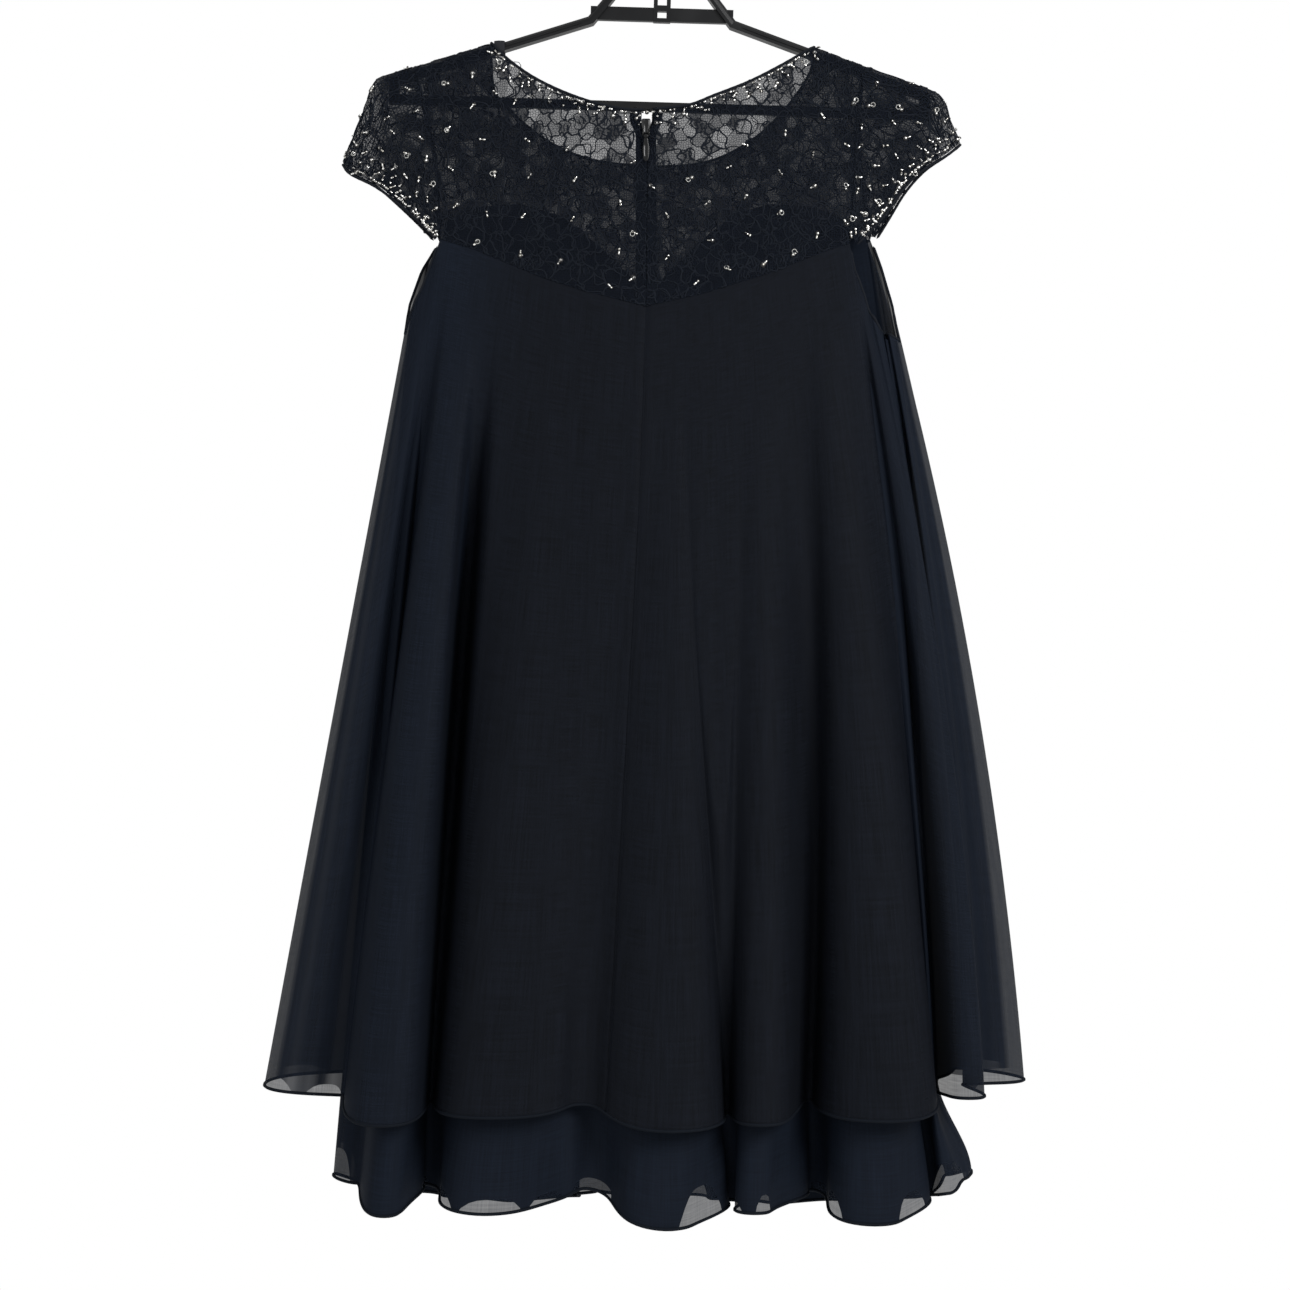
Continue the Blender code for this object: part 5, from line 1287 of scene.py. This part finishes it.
sequins = []
silverSets, darkSets = {}, {}


def setBeads(name, places, seed, **choice):
    # bead groups at some places, kept by the name of the piece that they become
    silver, dark = beadGroups(*places, seed, **choice)
    silverSets.setdefault(name, []).extend(silver)
    darkSets.setdefault(name, []).extend(dark)


flat = laidFlat(joined(backBeads[:, 0], 0, backBeads[:, 1]))
places = ontoBody(flat, -1)
sequins.append(places)
setBeads("yoke_back", places, 41)
places = ontoBody(scattered(rimOf(laidFlat(frontYoke())), beads["gap"], 42), 1)
sequins.append(places)
setBeads("yoke_front", places, 43)
for part, (neck, which, side) in enumerate(neckParts):
    # one row below the binding, laid along it, and two looser rows beside it
    for row, (distance, phase, loose) in enumerate(((3.4, 0.0, 0.25), (6.8, 0.5, 0.9), (11.2, 0.25, 1.8))):
        line = neckLine(neck, which, distance, 200)
        count = int(runAlong(line)[-1] / beads["neckGap"] / (1 + 0.2 * row))
        share = (np.arange(count) + 0.3 + phase) / (count + 0.6)
        spots = pathThrough(line, share) + np.random.default_rng(50 + part).normal(0, 1, (count, 2)) * loose
        points, normal = ontoBody(laidFlat(np.insert(spots, 1, 0, axis=1)), side)
        if row == 0:
            setBeads("neck", (points, normal), 60 + part, seeds=0.55, cups=1.0,
                     along=unit(np.gradient(points, axis=0)))
        else:
            setBeads("neck", (points, normal), 70 + part, bugles=0.85, seeds=0.7, cups=0.7)
            sequins.append((points[::4], normal[::4]))
for (grid, normal, around, outward, toSleeve), hand in zip(sleeveSheets, ("left", "right")):
    flat = joined(*np.meshgrid(around, outward))
    places = toSleeve(scattered(rimOf(flat), beads["sleeveGap"], 45))
    sequins.append(places)
    setBeads("sleeve_" + hand, places, 46)
    for row, (back, phase, loose) in enumerate(((2.4, 0.0, 0.35), (6.4, 0.5, 0.9), (11.5, 0.2, 1.6))):
        count = int(around[-1] / beads["sleeveHemGap"] / (1 + 0.45 * row))
        share = (np.arange(count) + 0.3 + phase) / (count + 0.6)
        spots = joined(share * around[-1], outward[-1] - back)
        spots += np.random.default_rng(80).normal(0, 1, spots.shape) * loose
        points, out = toSleeve(spots)
        if row == 0:
            setBeads("sleeve_" + hand, (points, out), 81, bugles=0.85, seeds=0.5, cups=0.9,
                     along=unit(np.gradient(points, axis=0)))
        else:
            setBeads("sleeve_" + hand, (points, out), 82, bugles=0.9, seeds=0.6, cups=0.6)
for name in silverSets:
    addPiece("beads_" + name, *merged(silverSets[name]), silverBead, "wire")
    addPiece("cups_" + name, *merged(darkSets[name]), blackCup, "wire")
points, normal = (np.concatenate([s[k] for s in sequins])[::5] for k in (0, 1))
rng = np.random.default_rng(48)
tip = unit(normal + 0.25 * rng.normal(size=normal.shape))
place = points + 0.9 * normal + 1.9 * unit(np.cross(normal, rng.normal(size=normal.shape)))
rings = copies(*ringShape(beads["ringRadius"], beads["ringThick"]), place, tip,
               unit(np.cross(tip, np.array([0.3, 0.2, 1.0]))), np.ones(len(place)))
addPiece("ring_sequins", *rings, clearRing, "wire")
print("beads made")


# the zip, its slider and pull, the hook and eye, and the tab at the shoulder

hardware = dict(
    tapeThickness=0.8, tapeTop=2.6, tapeRows=150, tapeColumns=7,  # tapeTop is its start below the neck
    coilRadius=0.75, coilPitch=1.4, coilSwell=0.22, pinRadius=0.6, pinHalf=2.6, earRadius=0.55, earX=2.4,
    ridge=0.55, ridgeX=1.9, ridgeWidth=0.6,  # the slider's two ridges
    pullThickness=1.2, groove=0.3, eyeReach=1.42, eyeThick=0.42, eyeDepth=1.5,
    wireRadius=0.42, hookReach=8.8, sewnRadius=1.2, sewnWire=0.36, tabX=(-138.0, -129.5),
)


def backFace(side, distance, z):
    # outer face and outward direction of the back at a distance from the zip, at heights on yoke and skirt
    x = centreX + side * distance
    yokeFace = joined(x, -bodyDepth(x, z), z)
    seamTop = skirtPoint(outerLayer, zipFold, 0.0)[2]
    seamHem = skirtPoint(outerLayer, zipFold, 1.0)[2]
    height = np.clip((z - seamTop) / (seamHem - seamTop), 0, 1)
    place = besideSeam(outerLayer, zipFold, height, -side * distance)
    onYoke = (z > seamTop)[..., None]
    point = np.where(onYoke, yokeFace, skirtPoint(outerLayer, place, height))
    return point, np.where(onYoke, bodyNormal(x, z, -1), skirtNormal(outerLayer, place, height))


def addTape(hand, side):
    # one tape of the zip with its nylon coil along the inner edge: a tube whose radius swells at each turn
    z = np.linspace(zipTop - hardware["tapeTop"], zipEnd, hardware["tapeRows"])
    rows = []
    for share in np.linspace(0, 1, hardware["tapeColumns"]):
        point, normal = backFace(side, zipParting(z) + share * zipper["tapeWidth"], z)
        rows.append(point - (cut["wall"] + 2 * cut["layerGap"] + hardware["tapeThickness"] / 2) * normal)
    grid = np.stack(rows if side > 0 else rows[::-1], axis=1)
    tape = addGrid("woven_tape_" + hand, grid, wovenTape, "tape", ["zip_tape_" + hand])
    turns = int((z[0] - z[-1]) / hardware["coilPitch"])
    z = np.linspace(z[0] - 1, z[-1] + 1, turns * 4 + 1)
    point, normal = backFace(side, zipParting(z) + 0.4, z)
    swell = 1 + hardware["coilSwell"] * np.cos(np.arange(len(z)) * math.pi / 2)
    path = point - (cut["wall"] + 2 * cut["layerGap"] + hardware["tapeThickness"] + 0.8) * normal
    coil = tube(path, hardware["coilRadius"] * swell, 6, normal)
    return tape, addPiece("coil_" + hand, *coil, nylonCoil, "tape")


def lofted(rings):
    # a closed shape from rings of points, with both ends drawn in to their middles
    ends = [ring.mean(0) + 0.03 * (ring - ring.mean(0)) for ring in (rings[0], rings[-1])]
    rings = np.stack([ends[0], *rings, ends[1]])
    return rings.reshape(-1, 3), gridFaces(*rings.shape[:2], closed=True)


def squareRing(halfWidth, halfDepth, count=40):
    # a rounded rectangle as a superellipse: both coordinates are the roots of a circle's
    turn = fullTurn(count)
    return halfWidth * rooted(np.cos(turn), 0.45), halfDepth * rooted(np.sin(turn), 0.45)


def addSlider():
    # the slider's pillowed body with two ridges down its face, and the loop that holds the pull's pin
    top, bottom = zipper["sliderTop"], zipper["sliderBottom"]
    faceY, backY = zipper["pinY"] + 1.4, -float(bodyDepth(centreX, bottom)) - cut["layerGap"]
    rings = []
    for z in np.linspace(top, bottom, 22):
        end = min(top - z, z - bottom) / 1.2
        rounding = math.sqrt(1 - (1 - min(end, 1)) ** 2)
        halfWidth = np.interp(z, (bottom, top - 3, top), (2.6, 3.8, 3.4)) * (0.8 + 0.2 * rounding)
        halfDepth = (backY - faceY) / 2 * (0.5 + 0.5 * rounding)
        x, y = squareRing(halfWidth, halfDepth)
        fromRidge = (np.abs(x) - hardware["ridgeX"]) / hardware["ridgeWidth"]
        ridge = hardware["ridge"] * np.exp(-(fromRidge**2)) * (y < 0) * rounding
        rings.append(joined(centreX + x, (faceY + backY) / 2 + y - ridge, z))
    parts = [lofted(rings)]
    for sign in (-1, 1):
        ear = pathThrough([
            (faceY + 0.2, bottom + 4.0), (zipper["pinY"] - 0.9, bottom + 0.6),
            (zipper["pinY"] - 0.7, bottom - 1.6), (zipper["pinY"], zipper["pinHeight"]),
        ], np.linspace(0, 1, 14))
        path = np.insert(ear, 0, centreX + hardware["earX"] * sign, axis=1)
        parts.append(tube(path, hardware["earRadius"], 8, (1.0, 0, 0)))
    steps = hardware["pinHalf"] * np.linspace(-1, 1, 6)
    pin = np.array([(centreX + x, zipper["pinY"], zipper["pinHeight"]) for x in steps])
    parts.append(tube(pin, hardware["pinRadius"], 12, (0, 0, 1.0)))
    return addPiece("slider", *merged(parts), enamel, "painted_metal", ["zip_slider"])


def addPull():
    # the teardrop pull with a groove down its face, and the eye by which it hangs on the pin
    length = zipper["pullLength"]
    # how far down, and half of its width there
    depths, halves = zip((1.2, 1.0), (2.0, 1.6), (4.5, 1.7), (9.0, 2.6), (13.0, 2.5), (17.0, 2.1),
                         (19.0, 1.4), (length, 0.5))
    rings = []
    for z in -np.concatenate([np.linspace(1.2, 3.0, 4), np.linspace(4.0, length - 2.5, 16),
                              length - np.array([1.9, 1.3, 0.8, 0.4, 0.15, 0.0])]):
        halfWidth = np.interp(-z, depths, halves)
        end = min((length + z) / 0.8, (-z - 1.2) / 0.5 + 0.5, 1)
        x, y = squareRing(halfWidth, hardware["pullThickness"] / 2 * (0.45 + 0.55 * end))
        inGroove = smooth((-z - 6.0) / 1.5) * smooth((length - 3.0 + z) / 1.5)
        inGroove = inGroove * (y < 0) * smooth((0.55 * halfWidth - np.abs(x)) / 0.5 + 0.5)
        y = y + hardware["groove"] * inGroove
        rings.append(joined(x, y, z))
    around, own = fullTurn(24)[:, None], fullTurn(16)
    reach = hardware["eyeReach"] + hardware["eyeThick"] * rooted(np.cos(own), 0.6)
    deep = hardware["eyeDepth"] * rooted(np.sin(own), 0.6)
    eye = joined(deep, reach * np.cos(around), reach * np.sin(around))
    eye = np.concatenate([eye, eye[:1]])
    points, faces = merged([lofted(rings), (eye.reshape(-1, 3), gridFaces(25, 16, closed=True))])
    points = points + (centreX, zipper["pinY"], zipper["pinHeight"])
    return addPiece("teardrop_pull", points, faces, enamel, "painted_metal", ["zip_pull"], body="zip_pull")


def addHookAndEye():
    # a flattened wire hook from the left that catches a wire eye from the right, each sewn by two rings
    reach = hardware["hookReach"]
    y = -float(bodyDepth(centreX, zipTop)) + cut["wall"] / 2 + binding["radius"] + cut["layerGap"] + 0.6
    z = zipTop - binding["radius"]
    hook = (
        (-reach, 1.0), (-5.0, 1.0), (-1.0, 0.9), (2.2, 0.7), (3.0, 0.0), (2.2, -0.7), (-1.0, -0.9),
        (-5.0, -1.0), (-reach, -1.0),
    )
    eye = (reach, 1.3), (4.8, 1.2), (1.8, 0.9), (1.1, 0.0), (1.8, -0.9), (4.8, -1.2), (reach, -1.3)
    wires = []
    for row, lift in ((hook, 0.0), (eye, 0.35)):
        flat = pathThrough(row, np.linspace(0, 1, 60))
        path = joined(centreX + flat[:, 0], y + lift, z + flat[:, 1])
        wires.append(tube(path, hardware["wireRadius"], 8, (0, 1.0, 0)))
    turn = fullTurn(20)
    acrossRing, upRing = hardware["sewnRadius"] * np.cos(turn), hardware["sewnRadius"] * np.sin(turn)
    for sign in (-1, 1):
        for lift in (-1.5, 1.5):
            middle = centreX + sign * (reach - 0.6)
            ring = joined(middle + acrossRing, y + 0.2, z + lift + upRing)
            wires.append(tube(ring, hardware["sewnWire"], 8, (0, 1.0, 0), closed=True))
    return addPiece("wire_hook_and_eye", *merged(wires), wireEnamel, "wire", ["hook_and_eye"])


def addTab():
    # a loop of tape round the hanger's arm: a flat oval section carried round a rounded rectangle
    left, right = hardware["tabX"]
    middle = (left + right) / 2
    top = float(shoulderLine(middle)) - cut["wall"] - cut["layerGap"] + 0.4
    halfWidth = cut["armRadius"] + cut["layerGap"] + 0.5
    halfHeight = 0.53 * cut["armHeight"] + cut["layerGap"] + 0.6
    y, z = squareRing(halfWidth, halfHeight, 60)
    path = joined(middle, y, top - halfHeight + z + 0.4)
    outward = unit(path - path.mean(0))
    loop = tube(path, (right - left) / 2, 24, outward, closed=True, flatten=0.13)
    return addPiece("tape_tab", *loop, charcoalTape, "tape", ["shoulder_tab"])


tapes = {hand: addTape(hand, side) for hand, side in (("left", -1), ("right", 1))}
addSlider()
addPull()
addHookAndEye()
addTab()
print("zip made")


def addHangerRibs():
    # the hanger keeps its solid in moulded plastic, with the thin raised rib that runs along each arm's face
    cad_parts["hanger"].data.materials.clear()
    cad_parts["hanger"].data.materials.append(hangerPlastic)
    ribs = []
    for sign in (-1, 1):
        for side in (-1, 1):
            share = np.linspace(0.03, 0.98, 40)
            inner, outer = (np.array(cut[end]) for end in ("armInner", "armOuter"))
            flat = inner + share[:, None] * (outer - inner) - (0, 0.62 * cut["armHeight"])
            x, z = tilted(sign * flat[:, 0], flat[:, 1])
            path = joined(x, side * (cut["armRadius"] + 0.05), z)
            ribs.append(tube(path, 0.55, 8, (0, 1.0, 0)))
    addPiece("hanger_ribs", *merged(ribs), hangerPlastic, "plastic")


addHangerRibs()


# stage, light and camera


def addStage():
    # a pale round floor below the dress, a white surround and two soft lights
    turn, radius, level = fullTurn(64), 900, -1380.0
    rim = joined(radius * np.cos(turn), radius * np.sin(turn), level)
    mesh = bpy.data.meshes.new("floor")
    mesh.from_pydata((rim * metresPerMm).tolist(), [], [tuple(range(64))])
    mesh.materials.append(shaderOf("pale floor", "#e9e9e7", 0.9)[0])
    floor = bpy.data.objects.new("floor", mesh)
    bpy.context.scene.collection.objects.link(floor)
    world = bpy.data.worlds.new("white surround")
    world.use_nodes = True
    background = world.node_tree.nodes["Background"]
    background.inputs["Color"].default_value = (1, 1, 1, 1)
    # the surround is white to the camera, and lights the dress more gently
    seen = addNode(world.node_tree, "LightPath").outputs["Is Camera Ray"]
    strength = addNode(world.node_tree, "MapRange", sources={"Value": seen, "To Min": 0.6, "To Max": 1.0})
    feed(background, dict(Strength=strength))
    bpy.context.scene.world = world
    for name, place, size, power in (
        ("key light", (1.6, -2.0, 0.5), 1.2, 60),
        ("fill light", (-1.9, -1.7, -0.2), 1.6, 10),
    ):
        lamp = bpy.data.lights.new(name, "AREA")
        lamp.size = size
        lamp.energy = power
        holder = bpy.data.objects.new(name, lamp)
        holder.location = place
        holder.rotation_euler = (Vector((0, 0, -0.6)) - Vector(place)).to_track_quat("-Z", "Y").to_euler()
        bpy.context.scene.collection.objects.link(holder)


def addCamera():
    # level with the middle of the dress, 2.1 m from it; a picture 1290 wide takes in 1.032 m there
    data = bpy.data.cameras.new("camera")
    data.sensor_fit = "HORIZONTAL"
    across, away, level, halfWide = -0.0176, 2.1, -0.640, 0.516
    data.angle = 2 * math.atan(halfWide / away)
    camera = bpy.data.objects.new("camera", data)
    camera.location = (across, -away, level)
    camera.rotation_euler = (math.radians(90), 0, 0)
    bpy.context.scene.collection.objects.link(camera)
    bpy.context.scene.camera = camera


addStage()
addCamera()


# the render's colours go through the Standard view transform
bpy.context.scene.view_settings.view_transform = "Standard"
print("stage made")
